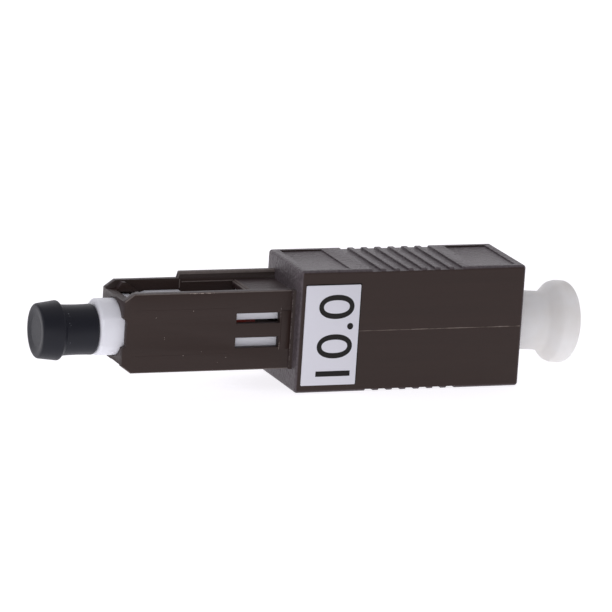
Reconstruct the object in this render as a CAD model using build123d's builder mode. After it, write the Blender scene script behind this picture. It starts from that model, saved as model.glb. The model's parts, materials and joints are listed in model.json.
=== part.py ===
from build123d import *

import os
from math import asin, cos, degrees, sin

os.makedirs("parts", exist_ok=True)

# A plug-in fibre attenuator: a square push-pull plug on the left, a socket for a like plug on
# the right, and one light path between them through a length of lossy fibre.
# The frame has +X towards the socket, +Y away from the labelled face and +Z up. The part stands
# on a ribbed face of its body, with its origin under the middle of its length.

# Ferrule train: the sizes that everything else is built round
FERRULE_DIAMETER = 2.5
FRONT_FERRULE_LENGTH = 14.0
REAR_FERRULE_LENGTH = 13.0
FERRULE_REACH = 4.9
FERRULE_TAPER_LENGTH = 0.55
FERRULE_TAPER_DEPTH = 0.35
FIBRE_DIAMETER = 0.125
FIBRE_GLUE_GAP = 0.0015
BARREL_WALL = 0.35
BARREL_GRIP = 2.5
GLUE_GAP = 0.005
FLANGE_LENGTH = 1.6
FLANGE_NOTCHES = 4
FLANGE_NOTCH_WIDTH = 0.8
FLANGE_NOTCH_DEPTH = 0.35
FLANGE_CLEARANCE = 0.15
SEAT_GAP = 0.05
SPRING_ROOM = 0.75
SPRING_WIRE = 0.4
SPRING_LENGTH = 5.6
SPRING_TURNS = 6
STOP_LENGTH = 5.0
STOP_CLEARANCE = 0.1
STOP_BORE_CLEARANCE = 0.15
LUG_SETBACK = 2.6
LUG_LENGTH = 1.2
LUG_HEIGHT = 1.9
LUG_SINK = 0.35

# Plug frame: the white inner plug that the housing slides on
FRAME_WALL = 0.43
FRAME_HEIGHT = 6.5
FRAME_TRAVEL = 2.0
FRAME_CLEARANCE = 0.1
NOSE_REACH = 2.3
NOSE_LENGTH = 3.7
NOSE_DIAMETER = 6.34
NOSE_ROUND = 0.4
NOSE_RECESS_DIAMETER = 4.2
NOSE_RECESS_DEPTH = 1.2
NOSE_HOLE_CLEARANCE = 0.2
SEAT_DEPTH = 6.05
LEAD_DROP = 0.5
LEAD_LENGTH = 1.6
RAMP_LENGTH = 1.5
CATCH_LENGTH = 4.0
CATCH_DEPTH = 0.75
CATCH_POCKET = 6.2
POCKET_RUN_OUT = 0.75
FRAME_WINDOW_HEIGHT = 2.1
FRAME_WINDOW_LENGTH = 5.1
COLLAR_LENGTH = 1.2
COLLAR_STEP_HEIGHT = 0.4
COLLAR_STEP_DEPTH = 0.3

# Sleeve: the slim end of the housing that enters an adapter
SLEEVE_LENGTH = 20.0
SLEEVE_WALL = 0.82
HOOK_ROOM = 1.15
TIP_BEVEL_LENGTH = 1.1
TIP_BEVEL_DROP = 0.8
TIP_NOTCH_HEIGHT = 3.4
TIP_NOTCH_DEPTH = 0.4
TIP_NOTCH_RUN = 0.3
BAND_LENGTH = 1.1
BAND_THICKNESS = 0.25
DECK_LENGTH = 5.0
DECK_DROP = 0.3
DECK_BEVEL = 0.2
WEDGE_LENGTH = 2.5
WEDGE_RISE_LENGTH = 0.55
WEDGE_TOP_LENGTH = 0.4
WEDGE_THICKNESS = 0.8
WEDGE_DROP = 0.1
RAIL_LENGTH = 11.55
RAIL_HEIGHT = 0.72
RAIL_THICKNESS = 0.7
RAIL_LEAD = 0.18
SLOT_LENGTH = 5.15
SLOT_HEIGHT = 1.2
SLOT_SPACING = 2.75
SLOT_SETBACK = 1.65
BUMP_LENGTH = 1.0
BUMP_HEIGHT = 1.3
BUMP_PROUD = 0.3
KEY_SETBACK = 4.7
KEY_LENGTH = 7.0
KEY_WIDTH = 2.4
KEY_PROUD = 0.8
KEY_LEAD = 0.5
ROOT_COLLAR_LENGTH = 0.45
ROOT_COLLAR_PROUD = 0.25
ROOT_STEP = 0.4

# Body: the thick end of the housing that is gripped
BODY_LENGTH = 27.0
BODY_SIDE_WALL = 1.575
BODY_CROWN_WALL = 2.425
BODY_CORNER = 0.4
BODY_END_ROUND = 0.35
RIB_COUNT = 6
RIB_PITCH = 1.64
RIB_WIDTH = 0.6
RIB_HEIGHT = 0.25
GRIP_OFFSET = 0.35
PANEL_LENGTH = 4.95
PANEL_BORDER = 0.85
PANEL_END_BORDER = 1.05
PANEL_DEPTH = 0.2
PORT_DEPTH = 15.0
PORT_CLEARANCE = 0.075
PORT_LEAD = 0.25
KEYWAY_LENGTH = 10.0
KEYWAY_CLEARANCE = 0.1

# Socket fittings
HOLDER_CLEARANCE = 0.1
HOLDER_FLANGE = 1.2
HOLDER_REACH = 11.4
LIP_LENGTH = 0.7
LIP_CLEARANCE = 0.225
SKIRT_WALL = 0.8
SPLIT_LENGTH = 11.4
SPLIT_WALL = 0.33
SPLIT_GRIP_GAP = 0.02
SPLIT_SEAT_GAP = 0.08
SPLIT_SLIT = 0.5
HOOK_LENGTH = 8.8
HOOK_WIDTH = 3.4
HOOK_THICKNESS = 0.55
HOOK_CATCH = 0.3
HOOK_CATCH_LENGTH = 0.6
HOOK_TIP_LENGTH = 1.0
HOOK_TIP_THICKNESS = 0.3
HOOK_CLEARANCE = 0.15

# Dust covers and label
CAP_LENGTH = 6.6
CAP_GAP = 0.05
CAP_DIAMETER = 5.68
CAP_WAIST = 0.06
CAP_HEAD_DIAMETER = 6.68
CAP_FACE_DIAMETER = 6.05
CAP_HEAD_LENGTH = 2.4
CAP_STEP_LENGTH = 0.45
CAP_ROUND = 0.3
CAP_DISH_DIAMETER = 4.6
CAP_DISH_DEPTH = 0.15
CAP_BORE_CLEARANCE = 0.06
CAP_DROP = 0.25
CAP_BORE_SPARE = 0.3
PLUG_INSERT = 7.5
PLUG_WALL = 0.45
PLUG_SLACK = 0.1
PLUG_PLAY = 0.31
PLUG_NECK_STEP = 0.15
PLUG_NECK_GAP = 0.2
PLUG_NECK_LENGTH = 4.4
PLUG_REACH = 7.9
PLUG_FLARE_LENGTH = 1.4
PLUG_RIM = 0.2
PLUG_RIM_LENGTH = 0.4
PLUG_RIM_BULGE = 0.7
PLUG_KNOB_DIAMETER = 9.4
PLUG_END_ROUND = 0.95
PLUG_END_WALL = 1.1
PLUG_LEVER = 4.4
PLUG_TOUCH_GAP = 0.14
LABEL_WIDTH = 6.5
LABEL_THICKNESS = 0.1
LABEL_SETBACK = 0.6
LABEL_TOP_MARGIN = 1.65
LABEL_BOTTOM_MARGIN = 0.9

# Cross sections, worked outwards from the ferrule
FERRULE_RADIUS = FERRULE_DIAMETER / 2
BARREL_RADIUS = FERRULE_RADIUS + BARREL_WALL
CHAMBER_RADIUS = BARREL_RADIUS + SPRING_ROOM
SPRING_RADIUS = BARREL_RADIUS + SPRING_ROOM / 2
FLANGE_RADIUS = CHAMBER_RADIUS - FLANGE_CLEARANCE
FRAME_DEPTH = 2 * (CHAMBER_RADIUS + FRAME_WALL)
PASSAGE_DEPTH = FRAME_DEPTH + 2 * FRAME_CLEARANCE
PASSAGE_HEIGHT = FRAME_HEIGHT + 2 * FRAME_CLEARANCE
SLEEVE_DEPTH = PASSAGE_DEPTH + 2 * SLEEVE_WALL
SLEEVE_HEIGHT = PASSAGE_HEIGHT + 2 * HOOK_ROOM
COLLAR_DEPTH = PASSAGE_DEPTH + 2 * COLLAR_STEP_DEPTH
COLLAR_HEIGHT = PASSAGE_HEIGHT + 2 * COLLAR_STEP_HEIGHT
ROOM_DEPTH = COLLAR_DEPTH + 2 * FRAME_CLEARANCE
ROOM_HEIGHT = COLLAR_HEIGHT + 2 * FRAME_CLEARANCE
PORT_WIDTH = SLEEVE_DEPTH + 2 * PORT_CLEARANCE
PORT_HEIGHT = SLEEVE_HEIGHT + 2 * PORT_CLEARANCE
BODY_DEPTH = PORT_WIDTH + 2 * BODY_SIDE_WALL
BODY_HEIGHT = PORT_HEIGHT + 2 * BODY_CROWN_WALL
SPLIT_INNER = FERRULE_RADIUS + SPLIT_GRIP_GAP
SPLIT_OUTER = SPLIT_INNER + SPLIT_WALL
SPIGOT_RADIUS = FRAME_HEIGHT / 2 - PLUG_SLACK / 2
SPIGOT_BORE = SPIGOT_RADIUS - PLUG_WALL
HOLDER_RADIUS = SPIGOT_BORE - PLUG_TOUCH_GAP - PLUG_PLAY
HOLDER_BORE = SPLIT_OUTER + SPLIT_SEAT_GAP
LIP_RADIUS = FERRULE_RADIUS + LIP_CLEARANCE
NECK_RADIUS = SPIGOT_RADIUS + PLUG_NECK_STEP
NOSE_OPENING = NOSE_DIAMETER / 2 + FRAME_CLEARANCE
KNOB_RADIUS = PLUG_KNOB_DIAMETER / 2

# Places along the light path, from the shoulder where the sleeve meets the body
SLEEVE_FRONT = -SLEEVE_LENGTH
BAND_BACK = SLEEVE_FRONT + BAND_LENGTH
NOSE_FRONT = SLEEVE_FRONT - NOSE_REACH
NOSE_BACK = NOSE_FRONT + NOSE_LENGTH
CAP_BACK = NOSE_FRONT - CAP_GAP
CAP_FRONT = CAP_BACK - CAP_LENGTH
TIP_FRONT = NOSE_FRONT - FERRULE_REACH
FLANGE_SEAT = NOSE_FRONT + SEAT_DEPTH
FLANGE_FRONT = FLANGE_SEAT + SEAT_GAP
FLANGE_BACK = FLANGE_FRONT + FLANGE_LENGTH
STOP_FRONT = FLANGE_BACK + SPRING_LENGTH
FRAME_WINDOW_FRONT = STOP_FRONT + LUG_SETBACK - STOP_CLEARANCE
BUMP_FRONT = FRAME_WINDOW_FRONT + FRAME_TRAVEL + FRAME_CLEARANCE
COLLAR_FRONT = ROOT_STEP + FRAME_CLEARANCE
FRAME_BACK = COLLAR_FRONT + COLLAR_LENGTH
SLOT_CENTRE = -SLOT_SETBACK - SLOT_LENGTH / 2
PORT_FLOOR = BODY_LENGTH - PORT_DEPTH
SKIRT_FRONT = FRAME_BACK + FRAME_TRAVEL + FRAME_CLEARANCE
HOLDER_SEAM = PORT_FLOOR + HOLDER_FLANGE
HOLDER_FRONT = PORT_FLOOR + HOLDER_REACH
SPLIT_BACK = HOLDER_FRONT - LIP_LENGTH - SPLIT_SEAT_GAP
SPLIT_FRONT = SPLIT_BACK - SPLIT_LENGTH
RETAINER_LIP = SPLIT_FRONT - SPLIT_SEAT_GAP
REAR_TIP = SPLIT_FRONT + SPLIT_LENGTH / 2
REAR_FERRULE_FRONT = REAR_TIP - REAR_FERRULE_LENGTH
BARREL_BACK = REAR_FERRULE_FRONT + BARREL_GRIP
GRIP_CENTRE = BODY_LENGTH / 2 + GRIP_OFFSET

# Place of the light path in the part's own frame
SHOULDER_X = -(CAP_FRONT + BODY_LENGTH + PLUG_REACH) / 2
AXIS_Z = BODY_HEIGHT / 2
LIGHT_PATH = Axis((SHOULDER_X, 0, AXIS_Z), (1, 0, 0))
SIDE = Plane(origin=(SHOULDER_X, 0, AXIS_Z), x_dir=(1, 0, 0), z_dir=(0, -1, 0))
PLAN = Plane(origin=(SHOULDER_X, 0, AXIS_Z), x_dir=(1, 0, 0), z_dir=(0, 0, 1))

# The soft dust plug sags until its bore rests on the end of the socket's inner tube
PLUG_SAG = asin(PLUG_PLAY / PLUG_LEVER)
PLUG_PIVOT = HOLDER_FRONT - PLUG_LEVER
PLUG_AXIS = Axis((SHOULDER_X + PLUG_PIVOT, 0, AXIS_Z), (cos(PLUG_SAG), 0, -sin(PLUG_SAG)))
PLUG_SIDE = Plane(origin=PLUG_AXIS.position, x_dir=PLUG_AXIS.direction, z_dir=(0, -1, 0))

UPPER_AND_LOWER = (1, -1)
NEAR_AND_FAR = (1, -1)


def across(place):
    """Plane square to the light path at a place along it: sketch right is +Y, up is +Z."""
    return Plane(origin=(SHOULDER_X + place, 0, AXIS_Z), x_dir=(0, 1, 0), z_dir=(1, 0, 0))


def both_halves(upper):
    """Closed outline from its upper half, mirrored about the light path."""
    lower = [(place, -height) for place, height in reversed(upper)]
    return upper + lower


def flipped(outline, half):
    """Outline as drawn for the upper half, or turned over for the lower one."""
    return [(place, half * height) for place, height in outline]


# Outer housing: sleeve and body in one dark moulding
SLEEVE_TOP = SLEEVE_HEIGHT / 2
PASSAGE_TOP = PASSAGE_HEIGHT / 2
DECK_TOP = SLEEVE_TOP - DECK_DROP
WEDGE_TOP = SLEEVE_TOP - WEDGE_DROP
RAIL_TOP = SLEEVE_TOP + RAIL_HEIGHT
WALL_INSIDE = PASSAGE_DEPTH / 2
WALL_OUTSIDE = SLEEVE_DEPTH / 2

sleeve_outline = both_halves(
    [
        (SLEEVE_FRONT, SLEEVE_TOP - TIP_BEVEL_DROP),
        (SLEEVE_FRONT + TIP_BEVEL_LENGTH, SLEEVE_TOP),
        (0, SLEEVE_TOP),
    ]
)
rail_outline = [
    (-RAIL_LENGTH, SLEEVE_TOP),
    (-RAIL_LENGTH + RAIL_LEAD, RAIL_TOP),
    (0, RAIL_TOP),
    (0, SLEEVE_TOP),
]
wedge_outline = [
    (BAND_BACK, PASSAGE_TOP),
    (BAND_BACK, PASSAGE_TOP + BAND_THICKNESS),
    (BAND_BACK + WEDGE_RISE_LENGTH, WEDGE_TOP),
    (BAND_BACK + WEDGE_RISE_LENGTH + WEDGE_TOP_LENGTH, WEDGE_TOP),
    (BAND_BACK + WEDGE_LENGTH, PASSAGE_TOP),
]
deck_bevel_outline = [
    (-DECK_LENGTH, DECK_TOP),
    (-DECK_LENGTH, DECK_TOP - DECK_BEVEL),
    (-DECK_LENGTH + DECK_BEVEL, DECK_TOP),
]
key_outline = [
    (SLEEVE_FRONT + KEY_SETBACK, WALL_OUTSIDE),
    (SLEEVE_FRONT + KEY_SETBACK + KEY_LEAD, WALL_OUTSIDE + KEY_PROUD),
    (SLEEVE_FRONT + KEY_SETBACK + KEY_LENGTH, WALL_OUTSIDE + KEY_PROUD),
    (SLEEVE_FRONT + KEY_SETBACK + KEY_LENGTH, WALL_OUTSIDE),
]
tip_notch_outline = both_halves(
    [
        (SLEEVE_FRONT, TIP_NOTCH_HEIGHT / 2),
        (SLEEVE_FRONT + TIP_NOTCH_DEPTH, TIP_NOTCH_HEIGHT / 2 - TIP_NOTCH_RUN),
    ]
)
bump_outline = [
    (BUMP_FRONT, WALL_INSIDE),
    (BUMP_FRONT + BUMP_PROUD, WALL_INSIDE - BUMP_PROUD),
    (BUMP_FRONT + BUMP_LENGTH, WALL_INSIDE - BUMP_PROUD),
    (BUMP_FRONT + BUMP_LENGTH, WALL_INSIDE),
]

with BuildPart() as outer_housing:
    with BuildSketch(across(0)):
        RectangleRounded(BODY_DEPTH, BODY_HEIGHT, BODY_CORNER)
    extrude(amount=BODY_LENGTH)
    body_ends = outer_housing.faces().filter_by(Axis.X)
    fillet(body_ends.edges(), BODY_END_ROUND)

    # Slim sleeve, its root collar, the key on the far side and the rails of the far wall
    with BuildSketch(SIDE):
        Polygon(*sleeve_outline, align=None)
    extrude(amount=WALL_OUTSIDE, both=True)
    with BuildSketch(SIDE):
        Polygon(*tip_notch_outline, align=None)
    extrude(amount=WALL_OUTSIDE, both=True, mode=Mode.SUBTRACT)
    with BuildSketch(across(-ROOT_COLLAR_LENGTH)):
        Rectangle(SLEEVE_DEPTH + 2 * ROOT_COLLAR_PROUD, SLEEVE_HEIGHT)
    extrude(amount=ROOT_COLLAR_LENGTH)
    with BuildSketch(PLAN):
        Polygon(*key_outline, align=None)
    extrude(amount=KEY_WIDTH / 2, both=True)
    with BuildSketch(SIDE.offset(RAIL_THICKNESS / 2 - WALL_OUTSIDE)):
        for half in UPPER_AND_LOWER:
            Polygon(*flipped(rail_outline, half), align=None)
    extrude(amount=RAIL_THICKNESS / 2, both=True)

    # Grip: valleys between ribs across the upper and lower faces, with a sunk panel at each end
    with BuildSketch(SIDE):
        with Locations(*[(GRIP_CENTRE, half * BODY_HEIGHT / 2) for half in UPPER_AND_LOWER]):
            with GridLocations(RIB_PITCH, RIB_PITCH, RIB_COUNT + 1, 1):
                Rectangle(RIB_PITCH - RIB_WIDTH, 2 * RIB_HEIGHT)
    extrude(amount=BODY_DEPTH, both=True, mode=Mode.SUBTRACT)
    panel_place = PANEL_END_BORDER + PANEL_LENGTH / 2
    for half in UPPER_AND_LOWER:
        with BuildSketch(PLAN.offset(half * BODY_HEIGHT / 2)):
            with Locations((panel_place, 0), (BODY_LENGTH - panel_place, 0)):
                Rectangle(PANEL_LENGTH, BODY_DEPTH - 2 * PANEL_BORDER)
        extrude(amount=PANEL_DEPTH, both=True, mode=Mode.SUBTRACT)

    # Round mouth for the nose, passage for the plug frame, room for its collar, keyed socket
    with BuildSketch(across(SLEEVE_FRONT)):
        Circle(NOSE_OPENING)
        Rectangle(PASSAGE_DEPTH, SLEEVE_HEIGHT, mode=Mode.INTERSECT)
    extrude(amount=BAND_LENGTH, mode=Mode.SUBTRACT)
    with BuildSketch(across(BAND_BACK)):
        Rectangle(PASSAGE_DEPTH, PASSAGE_HEIGHT)
    extrude(amount=SLEEVE_LENGTH - BAND_LENGTH + ROOT_STEP, mode=Mode.SUBTRACT)
    with BuildSketch(across(ROOT_STEP)):
        Rectangle(ROOM_DEPTH, ROOM_HEIGHT)
    extrude(amount=PORT_FLOOR - ROOT_STEP, mode=Mode.SUBTRACT)
    with BuildSketch(across(PORT_FLOOR)):
        Rectangle(PORT_WIDTH, PORT_HEIGHT)
    extrude(amount=PORT_DEPTH, mode=Mode.SUBTRACT)
    with BuildSketch(across(BODY_LENGTH - KEYWAY_LENGTH)):
        with Locations((PORT_WIDTH / 2, 0)):
            Rectangle(2 * (KEY_PROUD + KEYWAY_CLEARANCE), KEY_WIDTH + 2 * KEYWAY_CLEARANCE)
    extrude(amount=KEYWAY_LENGTH, mode=Mode.SUBTRACT)
    mouth = outer_housing.faces().sort_by(Axis.X)[-1].inner_wires()[0]
    chamfer(mouth.edges(), PORT_LEAD)

    # Hook channels along the upper and lower sides: band, long window and deck
    with BuildSketch(across(SLEEVE_FRONT)):
        Rectangle(PASSAGE_DEPTH, SLEEVE_HEIGHT)
        Rectangle(PASSAGE_DEPTH, PASSAGE_HEIGHT + 2 * BAND_THICKNESS, mode=Mode.SUBTRACT)
    extrude(amount=BAND_LENGTH, mode=Mode.SUBTRACT)
    with BuildSketch(across(BAND_BACK)):
        Rectangle(PASSAGE_DEPTH, SLEEVE_HEIGHT)
    extrude(amount=SLEEVE_LENGTH - BAND_LENGTH - DECK_LENGTH, mode=Mode.SUBTRACT)
    with BuildSketch(across(-DECK_LENGTH)):
        Rectangle(PASSAGE_DEPTH, SLEEVE_HEIGHT)
        Rectangle(PASSAGE_DEPTH, SLEEVE_HEIGHT - 2 * DECK_DROP, mode=Mode.SUBTRACT)
    extrude(amount=DECK_LENGTH, mode=Mode.SUBTRACT)
    with BuildSketch(SIDE):
        for half in UPPER_AND_LOWER:
            Polygon(*flipped(deck_bevel_outline, half), align=None)
    extrude(amount=WALL_INSIDE, both=True, mode=Mode.SUBTRACT)

    # Release wedges inside the walls, the two slots in each wall and the snap bump between them
    for side in NEAR_AND_FAR:
        with BuildSketch(SIDE.offset(side * (WALL_INSIDE - WEDGE_THICKNESS / 2))):
            for half in UPPER_AND_LOWER:
                Polygon(*flipped(wedge_outline, half), align=None)
        extrude(amount=WEDGE_THICKNESS / 2, both=True)
    with BuildSketch(SIDE):
        with Locations((SLOT_CENTRE, 0)):
            with GridLocations(SLOT_SPACING, SLOT_SPACING, 1, 2):
                Rectangle(SLOT_LENGTH, SLOT_HEIGHT)
    extrude(amount=SLEEVE_DEPTH, both=True, mode=Mode.SUBTRACT)
    with BuildSketch(PLAN):
        for side in NEAR_AND_FAR:
            Polygon(*flipped(bump_outline, side), align=None)
    extrude(amount=BUMP_HEIGHT / 2, both=True)
outer_housing.part.label = "outer_housing"

# Plug frame: round nose with flats, release ramps and catches, collar at its back
FRAME_TOP = FRAME_HEIGHT / 2
RAMP_FRONT = NOSE_BACK + LEAD_LENGTH
CATCH_FRONT = RAMP_FRONT + RAMP_LENGTH
CATCH_BACK = CATCH_FRONT + CATCH_LENGTH
POCKET_BACK = CATCH_BACK + CATCH_POCKET

frame_outline = both_halves(
    [
        (NOSE_BACK, FRAME_TOP - LEAD_DROP),
        (RAMP_FRONT, FRAME_TOP - LEAD_DROP),
        (CATCH_FRONT, FRAME_TOP),
        (CATCH_BACK, FRAME_TOP),
        (CATCH_BACK, FRAME_TOP - CATCH_DEPTH),
        (POCKET_BACK, FRAME_TOP - CATCH_DEPTH),
        (POCKET_BACK + POCKET_RUN_OUT, FRAME_TOP),
        (COLLAR_FRONT, FRAME_TOP),
    ]
)

with BuildPart() as plug_frame:
    with BuildSketch(across(NOSE_FRONT)):
        Circle(NOSE_DIAMETER / 2)
        Rectangle(FRAME_DEPTH, FRAME_HEIGHT, mode=Mode.INTERSECT)
    extrude(amount=NOSE_LENGTH)
    nose_face = plug_frame.faces().sort_by(Axis.X)[0]
    fillet(nose_face.edges(), NOSE_ROUND)
    with BuildSketch(SIDE):
        Polygon(*frame_outline, align=None)
    extrude(amount=FRAME_DEPTH / 2, both=True)
    with BuildSketch(across(COLLAR_FRONT)):
        Rectangle(COLLAR_DEPTH, COLLAR_HEIGHT)
    extrude(amount=COLLAR_LENGTH)
    with BuildSketch(across(NOSE_FRONT)):
        Circle(NOSE_RECESS_DIAMETER / 2)
    extrude(amount=NOSE_RECESS_DEPTH, mode=Mode.SUBTRACT)
    with BuildSketch(across(NOSE_FRONT)):
        Circle(FERRULE_RADIUS + NOSE_HOLE_CLEARANCE)
    extrude(amount=SEAT_DEPTH, mode=Mode.SUBTRACT)
    with BuildSketch(across(FLANGE_SEAT)):
        Circle(CHAMBER_RADIUS)
    extrude(amount=FRAME_BACK - FLANGE_SEAT, mode=Mode.SUBTRACT)
    with BuildSketch(SIDE):
        with Locations((FRAME_WINDOW_FRONT + FRAME_WINDOW_LENGTH / 2, 0)):
            Rectangle(FRAME_WINDOW_LENGTH, FRAME_WINDOW_HEIGHT)
    extrude(amount=FRAME_DEPTH, both=True, mode=Mode.SUBTRACT)
plug_frame.part.label = "plug_frame"


def ferrule_outline(front, back):
    """Half outline of a ferrule with a tapered edge at each end."""
    land = FERRULE_RADIUS - FERRULE_TAPER_DEPTH
    return [
        (front, 0),
        (front, land),
        (front + FERRULE_TAPER_LENGTH, FERRULE_RADIUS),
        (back - FERRULE_TAPER_LENGTH, FERRULE_RADIUS),
        (back, land),
        (back, 0),
    ]


# Front ferrule: the plug's own ceramic tip
with BuildPart() as front_ferrule:
    with BuildSketch(SIDE):
        Polygon(*ferrule_outline(TIP_FRONT, TIP_FRONT + FRONT_FERRULE_LENGTH), align=None)
    revolve(axis=LIGHT_PATH)
    with BuildSketch(across(TIP_FRONT)):
        Circle(FIBRE_DIAMETER / 2 + FIBRE_GLUE_GAP)
    extrude(amount=FRONT_FERRULE_LENGTH, mode=Mode.SUBTRACT)
front_ferrule.part.label = "front_ferrule"

# Rear ferrule: ends half way along the split sleeve, where a mating ferrule meets it
with BuildPart() as rear_ferrule:
    with BuildSketch(SIDE):
        Polygon(*ferrule_outline(REAR_FERRULE_FRONT, REAR_TIP), align=None)
    revolve(axis=LIGHT_PATH)
    with BuildSketch(across(REAR_FERRULE_FRONT)):
        Circle(FIBRE_DIAMETER / 2 + FIBRE_GLUE_GAP)
    extrude(amount=REAR_FERRULE_LENGTH, mode=Mode.SUBTRACT)
rear_ferrule.part.label = "rear_ferrule"

# Attenuating fibre: the lossy glass from tip to tip
with BuildPart() as attenuating_fibre:
    with BuildSketch(across(TIP_FRONT)):
        Circle(FIBRE_DIAMETER / 2)
    extrude(amount=REAR_TIP - TIP_FRONT)
attenuating_fibre.part.label = "attenuating_fibre"

# Ferrule barrel: turned tube that grips both ferrules, with the notched flange the spring pushes
barrel_outline = [
    (FLANGE_FRONT, 0),
    (FLANGE_FRONT, FLANGE_RADIUS),
    (FLANGE_BACK, FLANGE_RADIUS),
    (FLANGE_BACK, BARREL_RADIUS),
    (BARREL_BACK, BARREL_RADIUS),
    (BARREL_BACK, 0),
]

with BuildPart() as ferrule_barrel:
    with BuildSketch(SIDE):
        Polygon(*barrel_outline, align=None)
    revolve(axis=LIGHT_PATH)
    with BuildSketch(across(FLANGE_FRONT)):
        with PolarLocations(FLANGE_RADIUS, FLANGE_NOTCHES):
            Rectangle(2 * FLANGE_NOTCH_DEPTH, FLANGE_NOTCH_WIDTH)
    extrude(amount=FLANGE_LENGTH, mode=Mode.SUBTRACT)
    with BuildSketch(across(FLANGE_FRONT)):
        Circle(FERRULE_RADIUS + GLUE_GAP)
    extrude(amount=BARREL_BACK - FLANGE_FRONT, mode=Mode.SUBTRACT)
ferrule_barrel.part.label = "ferrule_barrel"

# Ferrule spring: one coil from the flange to the spring stop
coil_length = SPRING_LENGTH - SPRING_WIRE
with BuildPart() as ferrule_spring:
    with BuildLine():
        coil = Helix(
            pitch=coil_length / SPRING_TURNS,
            height=coil_length,
            radius=SPRING_RADIUS,
            center=(SHOULDER_X + FLANGE_BACK + SPRING_WIRE / 2, 0, AXIS_Z),
            direction=(1, 0, 0),
        )
    with BuildSketch(Plane(origin=coil @ 0, z_dir=coil % 0)):
        Circle(SPRING_WIRE / 2)
    sweep(path=coil, is_frenet=True)
ferrule_spring.part.label = "ferrule_spring"

# Spring stop: dark red bush whose two lugs snap into the frame's windows
with BuildPart() as spring_stop:
    with BuildSketch(across(STOP_FRONT)):
        Circle(CHAMBER_RADIUS - STOP_CLEARANCE)
    extrude(amount=STOP_LENGTH)
    with BuildSketch(across(STOP_FRONT + LUG_SETBACK)):
        Rectangle(FRAME_DEPTH - 2 * LUG_SINK, LUG_HEIGHT)
    extrude(amount=LUG_LENGTH)
    with BuildSketch(across(STOP_FRONT)):
        Circle(BARREL_RADIUS + STOP_BORE_CLEARANCE)
    extrude(amount=STOP_LENGTH, mode=Mode.SUBTRACT)
spring_stop.part.label = "spring_stop"

# Sleeve retainer: back half of the socket's inner part, with the skirt that stops the plug frame
FLANGE_PLATE_DEPTH = PORT_WIDTH - 2 * HOLDER_CLEARANCE
FLANGE_PLATE_HEIGHT = PORT_HEIGHT - 2 * HOLDER_CLEARANCE
SKIRT_DEPTH = ROOM_DEPTH - 2 * HOLDER_CLEARANCE
SKIRT_HEIGHT = ROOM_HEIGHT - 2 * HOLDER_CLEARANCE

with BuildPart() as sleeve_retainer:
    with BuildSketch(across(PORT_FLOOR)):
        Rectangle(FLANGE_PLATE_DEPTH, FLANGE_PLATE_HEIGHT)
    extrude(amount=HOLDER_FLANGE)
    with BuildSketch(across(SKIRT_FRONT)):
        Rectangle(SKIRT_DEPTH, SKIRT_HEIGHT)
        Rectangle(SKIRT_DEPTH - 2 * SKIRT_WALL, SKIRT_HEIGHT - 2 * SKIRT_WALL, mode=Mode.SUBTRACT)
    extrude(amount=PORT_FLOOR - SKIRT_FRONT)
    with BuildSketch(across(RETAINER_LIP - LIP_LENGTH)):
        Circle(HOLDER_RADIUS)
    extrude(amount=PORT_FLOOR - RETAINER_LIP + LIP_LENGTH)
    with BuildSketch(across(RETAINER_LIP - LIP_LENGTH)):
        Circle(LIP_RADIUS)
    extrude(amount=LIP_LENGTH, mode=Mode.SUBTRACT)
    with BuildSketch(across(RETAINER_LIP)):
        Circle(HOLDER_BORE)
    extrude(amount=HOLDER_SEAM - RETAINER_LIP, mode=Mode.SUBTRACT)
sleeve_retainer.part.label = "sleeve_retainer"

# Latch holder: front half, with the tube round the split sleeve and the two spread hooks
CATCH_PLACE = HOLDER_SEAM + HOLDER_FLANGE + HOOK_LENGTH - HOOK_TIP_LENGTH
HOOK_ROOT = HOLDER_SEAM + HOLDER_FLANGE
HOOK_TIP = HOOK_ROOT + HOOK_LENGTH
PLUG_DROP = max(0.0, (CATCH_PLACE - PLUG_PIVOT) * sin(PLUG_SAG))
CATCH_INNER = SPIGOT_RADIUS + PLUG_DROP + HOOK_CLEARANCE
HOOK_INNER = CATCH_INNER + HOOK_CATCH
hook_outline = [
    (HOOK_ROOT, CATCH_INNER),
    (CATCH_PLACE - HOOK_CATCH_LENGTH, HOOK_INNER),
    (CATCH_PLACE - HOOK_CATCH_LENGTH, CATCH_INNER),
    (CATCH_PLACE, CATCH_INNER),
    (HOOK_TIP, HOOK_INNER + HOOK_THICKNESS - HOOK_TIP_THICKNESS),
    (HOOK_TIP, HOOK_INNER + HOOK_THICKNESS),
    (HOOK_ROOT, CATCH_INNER + HOOK_THICKNESS),
]

with BuildPart() as latch_holder:
    with BuildSketch(across(HOLDER_SEAM)):
        Rectangle(FLANGE_PLATE_DEPTH, FLANGE_PLATE_HEIGHT)
    extrude(amount=HOLDER_FLANGE)
    with BuildSketch(SIDE):
        for half in UPPER_AND_LOWER:
            Polygon(*flipped(hook_outline, half), align=None)
    extrude(amount=HOOK_WIDTH / 2, both=True)
    with BuildSketch(across(HOLDER_SEAM)):
        Circle(HOLDER_RADIUS)
    extrude(amount=HOLDER_FRONT - HOLDER_SEAM)
    with BuildSketch(across(HOLDER_SEAM)):
        Circle(HOLDER_BORE)
    extrude(amount=HOLDER_FRONT - LIP_LENGTH - HOLDER_SEAM, mode=Mode.SUBTRACT)
    with BuildSketch(across(HOLDER_FRONT - LIP_LENGTH)):
        Circle(LIP_RADIUS)
    extrude(amount=LIP_LENGTH, mode=Mode.SUBTRACT)
latch_holder.part.label = "latch_holder"

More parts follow.
